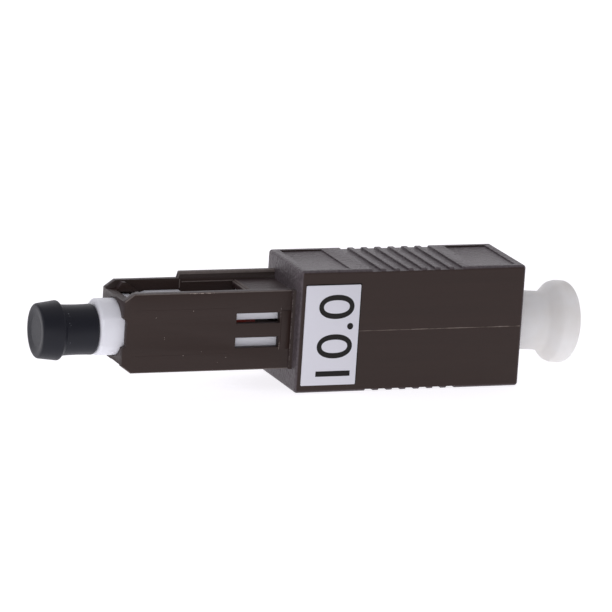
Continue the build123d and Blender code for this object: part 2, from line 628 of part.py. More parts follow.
# Split sleeve: slit ceramic tube that lines the two ferrules up
with BuildPart() as split_sleeve:
    with BuildSketch(across(SPLIT_FRONT)):
        Circle(SPLIT_OUTER)
        Circle(SPLIT_INNER, mode=Mode.SUBTRACT)
        with Locations((0, SPLIT_OUTER)):
            Rectangle(SPLIT_SLIT, 2 * SPLIT_OUTER - SPLIT_INNER, mode=Mode.SUBTRACT)
    extrude(amount=SPLIT_LENGTH)
split_sleeve.part.label = "split_sleeve"

# Ferrule cap: black rubber cap with a tapered head, hung loosely on the front ferrule
CAP_AXIS = Axis((SHOULDER_X, 0, AXIS_Z - CAP_DROP), (1, 0, 0))
CAP_SIDE = Plane(origin=CAP_AXIS.position, x_dir=CAP_AXIS.direction, z_dir=(0, -1, 0))
CAP_HEAD_BACK = CAP_FRONT + CAP_HEAD_LENGTH
CAP_STEP_BACK = CAP_HEAD_BACK + CAP_STEP_LENGTH
cap_outline = [
    (CAP_FRONT + CAP_DISH_DEPTH, 0),
    (CAP_FRONT, CAP_DISH_DIAMETER / 2),
    (CAP_FRONT, CAP_FACE_DIAMETER / 2),
    (CAP_HEAD_BACK, CAP_HEAD_DIAMETER / 2),
    (CAP_STEP_BACK, CAP_DIAMETER / 2),
    ((CAP_STEP_BACK + CAP_BACK) / 2, CAP_DIAMETER / 2 - CAP_WAIST),
    (CAP_BACK, CAP_DIAMETER / 2),
    (CAP_BACK, 0),
]

with BuildPart() as ferrule_cap:
    with BuildSketch(CAP_SIDE):
        Polygon(*cap_outline, align=None)
    revolve(axis=CAP_AXIS)
    rims = ferrule_cap.edges().filter_by(GeomType.CIRCLE)
    face_rim = rims.sort_by(lambda rim: abs(rim.radius - CAP_FACE_DIAMETER / 2))[0]
    head_rim = rims.sort_by(lambda rim: abs(rim.radius - CAP_HEAD_DIAMETER / 2))[0]
    back_rim = rims.sort_by(Axis.X)[-1]
    fillet([face_rim, head_rim, back_rim], CAP_ROUND)
    with BuildSketch(across(TIP_FRONT - CAP_BORE_SPARE)):
        with Locations((0, -CAP_DROP)):
            Circle(FERRULE_RADIUS + CAP_DROP + CAP_BORE_CLEARANCE)
    extrude(amount=CAP_BACK - TIP_FRONT + CAP_BORE_SPARE, mode=Mode.SUBTRACT)
ferrule_cap.part.label = "ferrule_cap"

# Port plug: soft hollow plug on its own sagging axis, with a flared knob to pull
PLUG_MOUTH = BODY_LENGTH - PLUG_PIVOT
PLUG_INNER_END = PLUG_MOUTH - PLUG_INSERT
NECK_FRONT = PLUG_MOUTH + PLUG_NECK_GAP
FLARE_FRONT = PLUG_MOUTH + PLUG_NECK_LENGTH
FLARE_BACK = FLARE_FRONT + PLUG_FLARE_LENGTH
PLUG_END = PLUG_MOUTH + PLUG_REACH
FLARE_RADIUS = KNOB_RADIUS - PLUG_RIM
bulge_place = FLARE_BACK + (1 - PLUG_RIM_BULGE) * PLUG_RIM_LENGTH
bulge = (bulge_place, FLARE_RADIUS + PLUG_RIM_BULGE * PLUG_RIM)

with BuildPart() as port_plug:
    with BuildSketch(PLUG_SIDE):
        with BuildLine():
            Polyline(
                (PLUG_INNER_END, 0),
                (PLUG_INNER_END, SPIGOT_RADIUS),
                (NECK_FRONT, SPIGOT_RADIUS),
                (NECK_FRONT, NECK_RADIUS),
                (FLARE_FRONT, NECK_RADIUS),
            )
            TangentArc((FLARE_FRONT, NECK_RADIUS), (FLARE_BACK, FLARE_RADIUS), tangent=(1, 0))
            ThreePointArc(
                (FLARE_BACK, FLARE_RADIUS),
                bulge,
                (FLARE_BACK + PLUG_RIM_LENGTH, KNOB_RADIUS),
            )
            Polyline(
                (FLARE_BACK + PLUG_RIM_LENGTH, KNOB_RADIUS),
                (PLUG_END, KNOB_RADIUS),
                (PLUG_END, 0),
                (PLUG_INNER_END, 0),
            )
        make_face()
    revolve(axis=PLUG_AXIS)
    end_rim = port_plug.edges().filter_by(GeomType.CIRCLE).sort_by(PLUG_AXIS)[-1]
    fillet(end_rim, PLUG_END_ROUND)
    with BuildSketch(PLUG_SIDE):
        with Locations(((PLUG_INNER_END + PLUG_END - PLUG_END_WALL) / 2, SPIGOT_BORE / 2)):
            Rectangle(PLUG_END - PLUG_END_WALL - PLUG_INNER_END, SPIGOT_BORE)
    revolve(axis=PLUG_AXIS, mode=Mode.SUBTRACT)
port_plug.part.label = "port_plug"

# Rating label: thin sticker on the near face of the body
LABEL_HEIGHT = BODY_HEIGHT - LABEL_TOP_MARGIN - LABEL_BOTTOM_MARGIN
with BuildPart() as rating_label:
    with BuildSketch(SIDE.offset(BODY_DEPTH / 2)):
        with Locations((LABEL_SETBACK + LABEL_WIDTH / 2, (LABEL_BOTTOM_MARGIN - LABEL_TOP_MARGIN) / 2)):
            Rectangle(LABEL_WIDTH, LABEL_HEIGHT)
    extrude(amount=LABEL_THICKNESS)
rating_label.part.label = "rating_label"

export_step(outer_housing.part, "parts/outer_housing.step")
export_step(plug_frame.part, "parts/plug_frame.step")
export_step(front_ferrule.part, "parts/front_ferrule.step")
export_step(rear_ferrule.part, "parts/rear_ferrule.step")
export_step(attenuating_fibre.part, "parts/attenuating_fibre.step")
export_step(ferrule_barrel.part, "parts/ferrule_barrel.step")
export_step(ferrule_spring.part, "parts/ferrule_spring.step")
export_step(spring_stop.part, "parts/spring_stop.step")
export_step(sleeve_retainer.part, "parts/sleeve_retainer.step")
export_step(latch_holder.part, "parts/latch_holder.step")
export_step(split_sleeve.part, "parts/split_sleeve.step")
export_step(ferrule_cap.part, "parts/ferrule_cap.step")
export_step(port_plug.part, "parts/port_plug.step")
export_step(rating_label.part, "parts/rating_label.step")

print("shoulder", round(SHOULDER_X, 3), "axis height", round(AXIS_Z, 3))
print("plug sag in degrees", round(degrees(PLUG_SAG), 2), "pivot", round(SHOULDER_X + PLUG_PIVOT, 3))
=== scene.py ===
"""Fibre attenuator: the finish of each moulding and the printed label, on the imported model.

All sizes are in metres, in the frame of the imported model: +X towards the socket, +Y away from
the labelled face, +Z up.
"""

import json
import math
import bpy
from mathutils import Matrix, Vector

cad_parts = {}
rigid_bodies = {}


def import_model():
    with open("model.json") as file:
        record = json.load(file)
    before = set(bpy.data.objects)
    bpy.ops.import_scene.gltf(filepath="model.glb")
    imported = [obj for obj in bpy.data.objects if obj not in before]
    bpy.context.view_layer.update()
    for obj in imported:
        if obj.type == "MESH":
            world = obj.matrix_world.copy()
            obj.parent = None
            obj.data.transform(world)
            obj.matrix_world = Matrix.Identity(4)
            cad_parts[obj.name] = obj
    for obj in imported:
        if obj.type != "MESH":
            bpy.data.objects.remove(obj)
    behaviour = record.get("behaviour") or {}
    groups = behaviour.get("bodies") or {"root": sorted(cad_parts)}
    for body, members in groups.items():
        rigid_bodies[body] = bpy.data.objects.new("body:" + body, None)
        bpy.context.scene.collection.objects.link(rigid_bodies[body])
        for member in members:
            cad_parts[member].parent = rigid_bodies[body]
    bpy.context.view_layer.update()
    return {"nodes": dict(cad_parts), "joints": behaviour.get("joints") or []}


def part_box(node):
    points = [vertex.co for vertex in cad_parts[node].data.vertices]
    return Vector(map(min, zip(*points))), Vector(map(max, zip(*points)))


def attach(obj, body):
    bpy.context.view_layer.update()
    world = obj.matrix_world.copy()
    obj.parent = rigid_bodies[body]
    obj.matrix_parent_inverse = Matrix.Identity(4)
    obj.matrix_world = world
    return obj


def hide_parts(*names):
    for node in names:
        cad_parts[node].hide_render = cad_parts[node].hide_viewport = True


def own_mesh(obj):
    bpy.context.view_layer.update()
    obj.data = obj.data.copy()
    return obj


bl_info = {
    "name": "Fibre attenuator",
    "version": (1, 0, 0),
    "blender": (4, 5, 0),
    "location": "View3D > Sidebar > Attenuator",
    "description": "Finishes and details of a plug-in fibre attenuator",
    "category": "Object",
}

import bmesh
import bpy
from bpy.props import (
    FloatProperty,
    FloatVectorProperty,
    IntProperty,
    PointerProperty,
    StringProperty,
)
from mathutils import Matrix, Vector

for left_over in list(bpy.data.objects):
    bpy.data.objects.remove(left_over)

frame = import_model()
MM = 0.001

HOUSING_LOW, HOUSING_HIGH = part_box("outer_housing")
LABEL_LOW, LABEL_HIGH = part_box("rating_label")
CAP_LOW, CAP_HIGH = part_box("ferrule_cap")
SPRING_LOW, SPRING_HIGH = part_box("ferrule_spring")
BODY_LENGTH = 27.0 * MM
SHOULDER_X = HOUSING_HIGH.x - BODY_LENGTH
AXIS_Z = (HOUSING_LOW.z + HOUSING_HIGH.z) / 2


def linear(code):
    """Linear RGBA of an sRGB hex colour."""
    channels = [int(code[i : i + 2], 16) / 255 for i in (1, 3, 5)]
    return tuple(
        c / 12.92 if c <= 0.04045 else ((c + 0.055) / 1.055) ** 2.4 for c in channels
    ) + (1.0,)


def colour(name, description, code):
    """Colour property with an sRGB hex default."""
    return FloatVectorProperty(
        name=name,
        description=description,
        default=linear(code),
        subtype="COLOR",
        size=4,
        min=0.0,
        max=1.0,
    )


def length(name, description, millimetres):
    """Length property with a default in millimetres."""
    return FloatProperty(
        name=name,
        description=description,
        default=millimetres * MM,
        min=0.0,
        unit="LENGTH",
        precision=5,
    )


def strength(name, description, amount):
    """Property for a plain amount, such as the power of a light."""
    return FloatProperty(name=name, description=description, default=amount, min=0.0)


class HousingSettings(bpy.types.PropertyGroup):
    edge_round: length("Edge round", "Radius of the sleeve's outer edges", 0.11)
    rail_round: length("Rail round", "Radius of the rails' inner edges", 0.3)
    band_round: length("Band round", "Radius of the front band's rear edge", 0.15)
    rib_round: length("Rib round", "Radius of the ribs and of the panels' edges", 0.09)
    fine_round: length("Fine round", "Radius of the edges of small features", 0.045)
    flash_height: length("Flash height", "Height of the mould's parting line", 0.05)
    flash_width: length("Flash width", "Width of the mould's parting line", 0.14)
    grain: length("Grain", "Spacing of the eroded grain", 0.34)
    brown: colour("Brown", "Colour of the polished faces of the outer moulding", "#2e1f1a")
    # Its lighter, greyer colour is partly the grain and partly painted sheen.
    eroded_and_sheen: colour("Eroded brown", "Colour of its eroded faces, which scatter more light", "#574f53")
    # This lighter brown is painted highlight on edges, ledges, seams and some burrs.
    painted_highlight: colour("Highlight brown", "Colour of the rails' rubbed edges", "#665c58")
    whitened: colour("Whitened brown", "Colour of flash and trim, where the plastic is torn", "#a1948b")
    flecks: strength("Flecks", "Specks of trim on each square millimetre of the sleeve", 0.09)
    burr_height: length("Burr height", "Height of the torn burrs on the sleeve", 0.05)
    fleck: length("Fleck", "Size of the largest speck", 0.075)
    seed: IntProperty(name="Seed", description="Pattern of the specks", default=5)


class InnerSettings(bpy.types.PropertyGroup):
    white: colour("White", "Colour of the inner plug and the socket fittings", "#eff0f7")
    dark_red: colour("Dark red", "Colour of the spring stop", "#7d2018")
    ceramic: colour("Ceramic", "Colour of the ferrules and the split sleeve", "#f1efe8")
    silica: colour("Silica", "Colour of the fibre", "#dfe9f2")
    # The barrel's dark plating stands for the shade seen through the slots: painted shade.
    nickel: colour("Shadowed nickel", "Colour of the barrel's plating", "#453f3c")
    steel: colour("Steel", "Colour of the spring's wire", "#b9b9b8")
    white_round: length("White round", "Radius of the white mouldings' edges", 0.05)
    wire: length("Wire", "Diameter of the spring's wire", 0.4)
    coil_turns: FloatProperty(
        name="Turns", description="Turns of the ferrule spring", default=6.0, min=1.0
    )


class CoverSettings(bpy.types.PropertyGroup):
    rubber: colour("Rubber", "Colour of the ferrule cap", "#10121d")
    milk: colour("Milk", "Colour of the dust plug", "#ffffff")
    # Shaded milk is painted shade, laid on the plug in random patches like clouds.
    shaded: colour("Shaded milk", "Colour of the dust plug where it is thick", "#f6f4f1")
    dust: colour("Dust", "Colour of the dust on the cap", "#8d8f96")
    dust_size: length("Dust size", "Size of the largest grain of dust", 0.08)
    dust_density: strength("Dust density", "Grains of dust on each square millimetre", 6.0)
    dust_seed: IntProperty(name="Dust seed", description="Pattern of the dust", default=3)


class LabelSettings(bpy.types.PropertyGroup):
    rating: StringProperty(
        name="Rating", description="Loss that is printed on the label", default="10.0"
    )
    rating_run: length("Rating run", "Length of the printed rating", 9.35)
    rating_height: length("Rating height", "Height of the printed capitals", 4.2)
    rating_foot: length("Rating foot", "Place of the first figure above the label's end", 1.0)
    rating_edge: length("Rating edge", "Margin between the base line and the label's edge", 0.67)
    # The sheet under the paper reaches past its top and socket-end edges as a dark line: painted
    # shadow, in the colour below.
    shadow_reach: length("Adhesive reach", "Reach of the adhesive past the paper", 0.11)
    glue_thickness: length("Adhesive", "Thickness of the adhesive", 0.02)
    adhesive_shadow: colour("Adhesive", "Colour of the adhesive with the dirt that it holds", "#0d0a0a")
    paper: colour("Paper", "Colour of the label", "#dcdce4")
    ink: colour("Ink", "Colour of the printing", "#120f0e")


class StageSettings(bpy.types.PropertyGroup):
    floor: colour("Floor", "Colour of the lit floor", "#b8b8ba")
    glow: strength("Floor glow", "Light that comes up through the floor", 0.84)
    light: colour("Light", "Colour of all the studio light", "#fdfbff")
    tent: strength("Tent", "Glow of the light tent all round", 0.38)
    top_power: strength("Top light", "Watts overhead", 0.6)
    back_power: strength("Back light", "Watts from behind", 2.1)
    left_power: strength("Left light", "Watts from the plug end", 0.84)
    right_power: strength("Right light", "Watts from the socket end", 0.5)
    front_power: strength("Front light", "Watts from the viewer", 0.75)


class AttenuatorSettings(bpy.types.PropertyGroup):
    housing: PointerProperty(type=HousingSettings)
    inner: PointerProperty(type=InnerSettings)
    covers: PointerProperty(type=CoverSettings)
    label: PointerProperty(type=LabelSettings)
    stage: PointerProperty(type=StageSettings)


def add_node(tree, kind, settings=None, inputs=None, links=None):
    """Adds a node, sets its options and socket values, and links its inputs."""
    node = tree.nodes.new(kind)
    for key, value in (settings or {}).items():
        setattr(node, key, value)
    for key, value in (inputs or {}).items():
        node.inputs[key].default_value = value
    for key, output in (links or {}).items():
        tree.links.new(output, node.inputs[key])
    return node


def start_material(name, **constants):
    """Principled material whose sockets hold the constants, with spaces for underscores."""
    material = bpy.data.materials.new(name)
    material.use_nodes = True
    tree = material.node_tree
    tree.nodes.clear()
    sockets = {key.replace("_", " "): value for key, value in constants.items()}
    shader = add_node(tree, "ShaderNodeBsdfPrincipled", inputs=sockets)
    add_node(tree, "ShaderNodeOutputMaterial", links={"Surface": shader.outputs["BSDF"]})
    return material, tree, shader


def shade(colour_value, share):
    """The same colour, lighter or darker by a share."""
    return tuple(min(1.0, c * share) for c in colour_value[:3]) + (1.0,)


MIX_FIRST, MIX_SECOND, MIX_RESULT = 6, 7, 2


def noise(tree, vector, spacing, detail, roughness):
    """Noise pattern whose spacing is a real length."""
    inputs = {"Scale": 1 / spacing, "Detail": detail, "Roughness": roughness}
    return add_node(tree, "ShaderNodeTexNoise", inputs=inputs, links={"Vector": vector}).outputs["Fac"]


def remap(tree, value, start=(0.0, 1.0), end=(0.0, 1.0), **settings):
    """A value whose range from start is spread over the range of end."""
    inputs = {"From Min": start[0], "From Max": start[1], "To Min": end[0], "To Max": end[1]}
    node = add_node(tree, "ShaderNodeMapRange", settings, inputs, {"Value": value})
    return node.outputs["Result"]


def calculate(tree, operation, *terms):
    """Result of a maths node whose terms are numbers or other results."""
    node = add_node(tree, "ShaderNodeMath", {"operation": operation})
    for socket, term in zip(node.inputs, terms):
        if isinstance(term, bpy.types.NodeSocket):
            tree.links.new(term, socket)
        else:
            socket.default_value = term
    return node.outputs[0]


def mix_colours(tree, factor, first, second):
    """Mix of two fixed colours."""
    inputs = {MIX_FIRST: tuple(first), MIX_SECOND: tuple(second)}
    node = add_node(tree, "ShaderNodeMix", {"data_type": "RGBA"}, inputs, {"Factor": factor})
    return node.outputs[MIX_RESULT]


def vary(tree, pattern, base, share):
    """A colour that a pattern makes darker and lighter by a share."""
    return mix_colours(tree, pattern, shade(base, 1 - share), shade(base, 1 + share))


def stretch(tree, vector, scale):
    """Coordinates that are scaled along each axis."""
    node = add_node(tree, "ShaderNodeMapping", inputs={"Scale": scale}, links={"Vector": vector})
    return node.outputs["Vector"]


def add_bump(tree, shader, height, depth, strength=1.0):
    """Relief of a given depth on a shader."""
    inputs = {"Distance": depth, "Strength": strength}
    node = add_node(tree, "ShaderNodeBump", inputs=inputs, links={"Height": height})
    tree.links.new(node.outputs["Normal"], shader.inputs["Normal"])
    return node


# Shares of the lighter grained tone: the sleeve takes less of it than the body, and its inside, up to
# these rises from the axis, takes least; that is painted shade.
INSIDE_SHADE_RISES = (3.7 * MM, 3.85 * MM)
SHOULDER_BLEND = 0.1 * MM
POLISHED_NORMALS = (0.75, 0.985)
INNER_SHEEN_SHARE = 0.12
SLEEVE_SHEEN_SHARE = 0.35
SLEEVE_GLOSS = 0.17
BODY_GLOSS = 0.3
GRAIN_STRETCH = 1.4
GRAIN_DEPTH = 0.17 * MM
GRAIN_CONTRAST = 0.28
GRAIN_ROUGHNESS = (0.28, 0.52)
FLOW_STRETCH = 25.0
FLOW_SPACING = 0.7 * MM
FLOW_CONTRAST = 0.14
SPECKLE_LEVELS = (0.3, 0.7)
RELIEF_RANGE = (0.05, 1.0)


def moulded_pbt(name, polished, eroded_and_sheen, grain):
    """Moulded PBT: satin and dark on the polished side faces, matt, grained and greyer elsewhere.

    Only the two flat sides of such a mould are polished. The grain of the erosion is about 0.05 mm
    and is drawn coarser, and longer across the part, so that it shows. The lighter, greyer tone of
    the faces that do not face sideways is partly that grain and partly painted sheen; the sleeve takes
    less of it than the body, and its inside least, which is painted shade. Faint streaks follow the
    flow of the melt along X.
    """
    material, tree, shader = start_material(name)
    place = add_node(tree, "ShaderNodeTexCoord").outputs["Object"]
    facing = add_node(tree, "ShaderNodeNewGeometry").outputs["Normal"]
    split = add_node(tree, "ShaderNodeSeparateXYZ", links={"Vector": facing})
    sideways = calculate(tree, "ABSOLUTE", split.outputs["Y"])
    # Faces that do not face sideways take the lighter grained tone, which is partly painted sheen.
    dull_and_sheen = remap(tree, sideways, POLISHED_NORMALS, (1.0, 0.0), interpolation_type="SMOOTHSTEP")
    spot = add_node(tree, "ShaderNodeSeparateXYZ", links={"Vector": place}).outputs
    shoulder = (SHOULDER_X - SHOULDER_BLEND, SHOULDER_X)
    body_share = remap(tree, spot["X"], shoulder, (INNER_SHEEN_SHARE, 1.0))
    polish = calculate(tree, "SUBTRACT", 1.0, dull_and_sheen)
    shining = calculate(tree, "MAXIMUM", body_share, polish)
    gloss = remap(tree, shining, (INNER_SHEEN_SHARE, 1.0), (SLEEVE_GLOSS, BODY_GLOSS))
    tree.links.new(gloss, shader.inputs["Specular IOR Level"])
    # Inside the sleeve the lighter tone is held low: painted shade.
    above = calculate(tree, "SUBTRACT", spot["Z"], AXIS_Z)
    off_axis = calculate(tree, "ABSOLUTE", above)
    outside = remap(tree, off_axis, INSIDE_SHADE_RISES, (INNER_SHEEN_SHARE, SLEEVE_SHEEN_SHARE))
    sheen_by_place = calculate(tree, "MAXIMUM", body_share, outside)
    eroded_and_sheen_share = calculate(tree, "MULTIPLY", dull_and_sheen, sheen_by_place)
    across = stretch(tree, place, (1.0, 1 / GRAIN_STRETCH, 1.0))
    pits = noise(tree, across, grain, detail=3.0, roughness=0.65)
    along = stretch(tree, place, (1 / FLOW_STRETCH, 1.0, 1.0))
    flow = noise(tree, along, FLOW_SPACING, detail=4.0, roughness=0.65)
    streaked = vary(tree, flow, polished, FLOW_CONTRAST)
    speckle = remap(tree, pits, SPECKLE_LEVELS)
    grained = vary(tree, speckle, eroded_and_sheen, GRAIN_CONTRAST)
    tint = add_node(
        tree,
        "ShaderNodeMix",
        {"data_type": "RGBA"},
        links={"Factor": eroded_and_sheen_share, MIX_FIRST: streaked, MIX_SECOND: grained},
    )
    tree.links.new(tint.outputs[MIX_RESULT], shader.inputs["Base Color"])
    tree.links.new(remap(tree, pits, end=GRAIN_ROUGHNESS), shader.inputs["Roughness"])
    bump = add_bump(tree, shader, pits, GRAIN_DEPTH)
    tree.links.new(remap(tree, eroded_and_sheen_share, end=RELIEF_RANGE), bump.inputs["Strength"])
    return material


PATCH_SPACING = 2.2 * MM
PATCH_LEVELS = (0.38, 0.62)
PATCH_SHARES = (0.15, 1.0)
# Paleness along X, growing towards the socket end: partly pale flash, partly painted highlight.
FLASH_HIGHLIGHT_SHARES = (0.05, 0.75)


def flash_and_highlight(name, base, torn):
    """Flash of a parting line: torn pale in places, and more so towards the socket end, where the
    paleness is partly painted highlight.
    """
    material, tree, shader = start_material(name, Roughness=0.5, Specular_IOR_Level=0.3)
    place = add_node(tree, "ShaderNodeTexCoord").outputs["Object"]
    spot = add_node(tree, "ShaderNodeSeparateXYZ", links={"Vector": place})
    # Painted highlight that grows towards the socket end
    highlight_growth = remap(tree, spot.outputs["X"], (SHOULDER_X, HOUSING_HIGH.x), FLASH_HIGHLIGHT_SHARES)
    patches = noise(tree, place, PATCH_SPACING, detail=3.0, roughness=0.7)
    pale = remap(tree, patches, PATCH_LEVELS, PATCH_SHARES)
    share = calculate(tree, "MULTIPLY", highlight_growth, pale)
    tree.links.new(mix_colours(tree, share, base, torn), shader.inputs["Base Color"])
    return material


MILKY = {
    "Subsurface_Weight": 0.15,
    "Subsurface_Radius": (1.0, 1.0, 1.0),
    "Subsurface_Scale": 0.4 * MM,
}
CERAMIC = {
    "IOR": 2.1,
    "Subsurface_Weight": 0.2,
    "Subsurface_Radius": (1.0, 0.9, 0.8),
    "Subsurface_Scale": 0.3 * MM,
}
# Each plain finish: spacing and depth of its grain in millimetres, roughness, what the grain adds
# to or takes from the roughness and the colour, and other sockets of the shader.
FINISHES = {
    # Pale, matt crumbs and burrs, where the plastic is torn
    "Whitened_PBT_trim": (0.5, 0.01, 0.5, 0.08, 0.3, {}),
    # Brown edges with painted highlight, lighter in patches
    "Rubbed_brown_PBT": (0.4, 0.02, 0.45, 0.1, 0.35, {}),
    # Bright, faintly blue satin that lets a little light in
    "Moulded_white_PBT": (0.2, 0.004, 0.42, 0.05, 0.02, MILKY),
    # Deep red satin
    "Moulded_dark_red_PBT": (0.2, 0.004, 0.45, 0.05, 0.06, {}),
    # Warm white with a hard gloss
    "Polished_zirconia": (0.5, 0.0005, 0.12, 0.03, 0.01, CERAMIC),
    # Smooth and pale
    "Drawn_silica": (0.4, 0.0002, 0.08, 0.02, 0.02, {"IOR": 1.46}),
    # Blue-black, with a soft sheen
    "Moulded_black_rubber": (0.16, 0.012, 0.46, 0.08, 0.12, {"Specular_IOR_Level": 0.3}),
    # Dull grey grains
    "Settled_dust": (0.1, 0.005, 0.8, 0.05, 0.2, {}),
    # Cool white with a slight sheen
    "Coated_label_paper": (0.25, 0.003, 0.4, 0.06, 0.012, {"Specular_IOR_Level": 0.35}),
    # Dark line past the paper's top and socket-end edges: painted shadow
    "Label_adhesive": (0.3, 0.004, 0.6, 0.1, 0.3, {"Specular_IOR_Level": 0.15}),
    # Matt black
    "Thermal_printing_ink": (0.12, 0.002, 0.5, 0.08, 0.15, {"Specular_IOR_Level": 0.25}),
}


def grained_material(name, base):
    """A surface of one colour whose fine grain shows in its colour, gloss and relief."""
    spacing, depth, rough, spread, tint, constants = FINISHES[name]
    material, tree, shader = start_material(name, **constants)
    place = add_node(tree, "ShaderNodeTexCoord").outputs["Object"]
    grain = noise(tree, place, spacing * MM, detail=3.0, roughness=0.6)
    tree.links.new(vary(tree, grain, base, tint), shader.inputs["Base Color"])
    gloss = remap(tree, grain, end=(rough - spread, rough + spread))
    tree.links.new(gloss, shader.inputs["Roughness"])
    add_bump(tree, shader, grain, depth * MM)
    return material


SHADE_CLOUD_SPACING = 3.5 * MM
SHADE_CLOUD_LEVELS = (0.4, 0.7)
LIT_THROUGH = 0.4


def soft_polyethylene(name, milk, shaded):
    """Soft polyethylene: milky, with painted shade in random patches like clouds, and lit through from
    behind.
    """
    material, tree, shader = start_material(name, Roughness=0.4, Specular_IOR_Level=0.4)
    place = add_node(tree, "ShaderNodeTexCoord").outputs["Object"]
    # Random patches of painted shade
    shade_clouds = noise(tree, place, SHADE_CLOUD_SPACING, detail=2.0, roughness=0.5)
    painted_shade_mask = remap(tree, shade_clouds, SHADE_CLOUD_LEVELS)
    mixed = mix_colours(tree, painted_shade_mask, milk, shaded)
    tree.links.new(mixed, shader.inputs["Base Color"])
    through = add_node(tree, "ShaderNodeBsdfTranslucent", links={"Color": mixed})
    both = add_node(
        tree,
        "ShaderNodeMixShader",
        inputs={0: LIT_THROUGH},
        links={1: shader.outputs["BSDF"], 2: through.outputs["BSDF"]},
    )
    surface = next(node for node in tree.nodes if node.type == "OUTPUT_MATERIAL")
    tree.links.new(both.outputs[0], surface.inputs["Surface"])
    return material


TURNED_ROUGHNESS = (0.24, 0.4)
TURNED_DEPTH = 0.004 * MM
TURNED_STRENGTH = 0.6


def turned_metal(name, base, spacing):
    """Turned or drawn metal: fine rings round the light path."""
    material, tree, shader = start_material(name, Metallic=1.0, Base_Color=tuple(base))
    place = add_node(tree, "ShaderNodeTexCoord").outputs["Object"]
    rings = add_node(
        tree,
        "ShaderNodeTexWave",
        {"wave_type": "BANDS", "bands_direction": "X"},
        {"Scale": 0.5 / spacing, "Distortion": 1.5, "Detail": 2.0},
        {"Vector": place},
    ).outputs["Fac"]
    gloss = remap(tree, rings, end=TURNED_ROUGHNESS)
    tree.links.new(gloss, shader.inputs["Roughness"])
    add_bump(tree, shader, rings, TURNED_DEPTH, TURNED_STRENGTH)
    return material


def add_object(name, data):
    """New object in the scene."""
    item = bpy.data.objects.new(name, data)
    bpy.context.scene.collection.objects.link(item)
    return item


def shown_mesh(carrier):
    """Plain mesh of what an object shows. The object itself is removed."""
    bpy.context.view_layer.update()
    shown = carrier.evaluated_get(bpy.context.evaluated_depsgraph_get())
    mesh = bpy.data.meshes.new_from_object(shown)
    bpy.data.objects.remove(carrier)
    return mesh


def plain_mesh(bm, name):
    """Mesh from a bmesh, which is freed."""
    mesh = bpy.data.meshes.new(name)
    bm.to_mesh(mesh)
    bm.free()
    return mesh


def add_piece(name, mesh, materials, body, slot, *nodes):
    """Puts a mesh in the scene as a piece that rides on a body and stands for nodes."""
    for material in materials:
        mesh.materials.append(material)
    piece = add_object(name, mesh)
    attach(piece, body)
    if nodes:
        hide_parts(*nodes)
    return piece


def paint_node(node, material):
    """Gives a CAD node's own object a finished material."""
    mesh = frame["nodes"][node].data
    mesh.materials.clear()
    mesh.materials.append(material)


WELD = 0.0002 * MM
FLAT = math.radians(0.5)
SHARP = math.radians(40)
ROUND_STEPS = 2


def welded(node):
    """Welded copy of a CAD node's mesh as a bmesh, with its flat faces whole again."""
    bm = bmesh.new()
    bm.from_mesh(frame["nodes"][node].data)
    bmesh.ops.remove_doubles(bm, verts=bm.verts, dist=WELD)
    bmesh.ops.dissolve_limit(bm, angle_limit=FLAT, verts=bm.verts, edges=bm.edges)
    return bm


def sharp_edges(bm, wanted):
    """The bent edges of a mesh that a test picks by their two ends."""
    return [
        edge
        for edge in bm.edges
        if len(edge.link_faces) == 2
        and edge.calc_face_angle() > SHARP
        and wanted(edge.verts[0].co, edge.verts[1].co)
    ]


def round_edges(bm, edges, radius, steps=ROUND_STEPS, slot=-1):
    """Rounds the given edges, with a material slot of their own if one is given."""
    bmesh.ops.bevel(
        bm,
        geom=edges,
        offset=radius,
        offset_type="OFFSET",
        segments=steps,
        profile=0.5,
        material=slot,
        affect="EDGES",
        clamp_overlap=True,
    )


def add_smooth(name, bm, *piece):
    """Adds a bmesh as a piece that is shaded smooth between its sharp edges."""
    for face in bm.faces:
        face.smooth = True
    mesh = plain_mesh(bm, name)
    mesh.set_sharp_from_angle(angle=SHARP)
    add_piece(name, mesh, *piece)


BEAD_SINK = 0.02 * MM
BEAD_SHOULDER = 0.8


def add_bead(bm, start, end, side, width, rises, slot):
    """Low bead on a side face, with its height given at even steps from start to end."""
    half = width / 2
    outward = Vector((0, side, 0))
    across = (end - start).normalized().cross(outward)
    rings = []
    for i, rise in enumerate(rises):
        spot = start.lerp(end, i / (len(rises) - 1))
        section = (
            (-BEAD_SINK, -half),
            (rise * BEAD_SHOULDER, -half / 2),
            (rise, 0),
            (rise * BEAD_SHOULDER, half / 2),
            (-BEAD_SINK, half),
        )
        rings.append([bm.verts.new(spot + outward * out + across * aside) for out, aside in section])
    made = []
    for a, b in zip(rings, rings[1:]):
        for j in range(len(a)):
            k = (j + 1) % len(a)
            made.append(bm.faces.new((a[j], b[j], b[k], a[k])))
    made.append(bm.faces.new(rings[0]))
    made.append(bm.faces.new(list(reversed(rings[-1]))))
    for face in made:
        face.material_index = slot
    bmesh.ops.recalc_face_normals(bm, faces=made)


def add_box(bm, low, high):
    """Plain box between two corners, as its vertices."""
    made = bmesh.ops.create_cube(bm, size=1.0)["verts"]
    place = Matrix.Translation((low + high) / 2) @ Matrix.Diagonal((*(high - low), 1.0))
    bmesh.ops.transform(bm, matrix=place, verts=made)
    return made


def add_block(bm, low, high, radius):
    """Block between two corners with rounded edges."""
    made = set(add_box(bm, low, high))
    round_edges(bm, [edge for edge in bm.edges if edge.verts[0] in made], radius)


def from_shoulder(along, out, up):
    """Point that lies along X from the shoulder, out from the middle plane and up from the axis."""
    return Vector((SHOULDER_X + along, out, AXIS_Z + up))


def any_edge(a, b):
    """Picks every edge."""
    return True


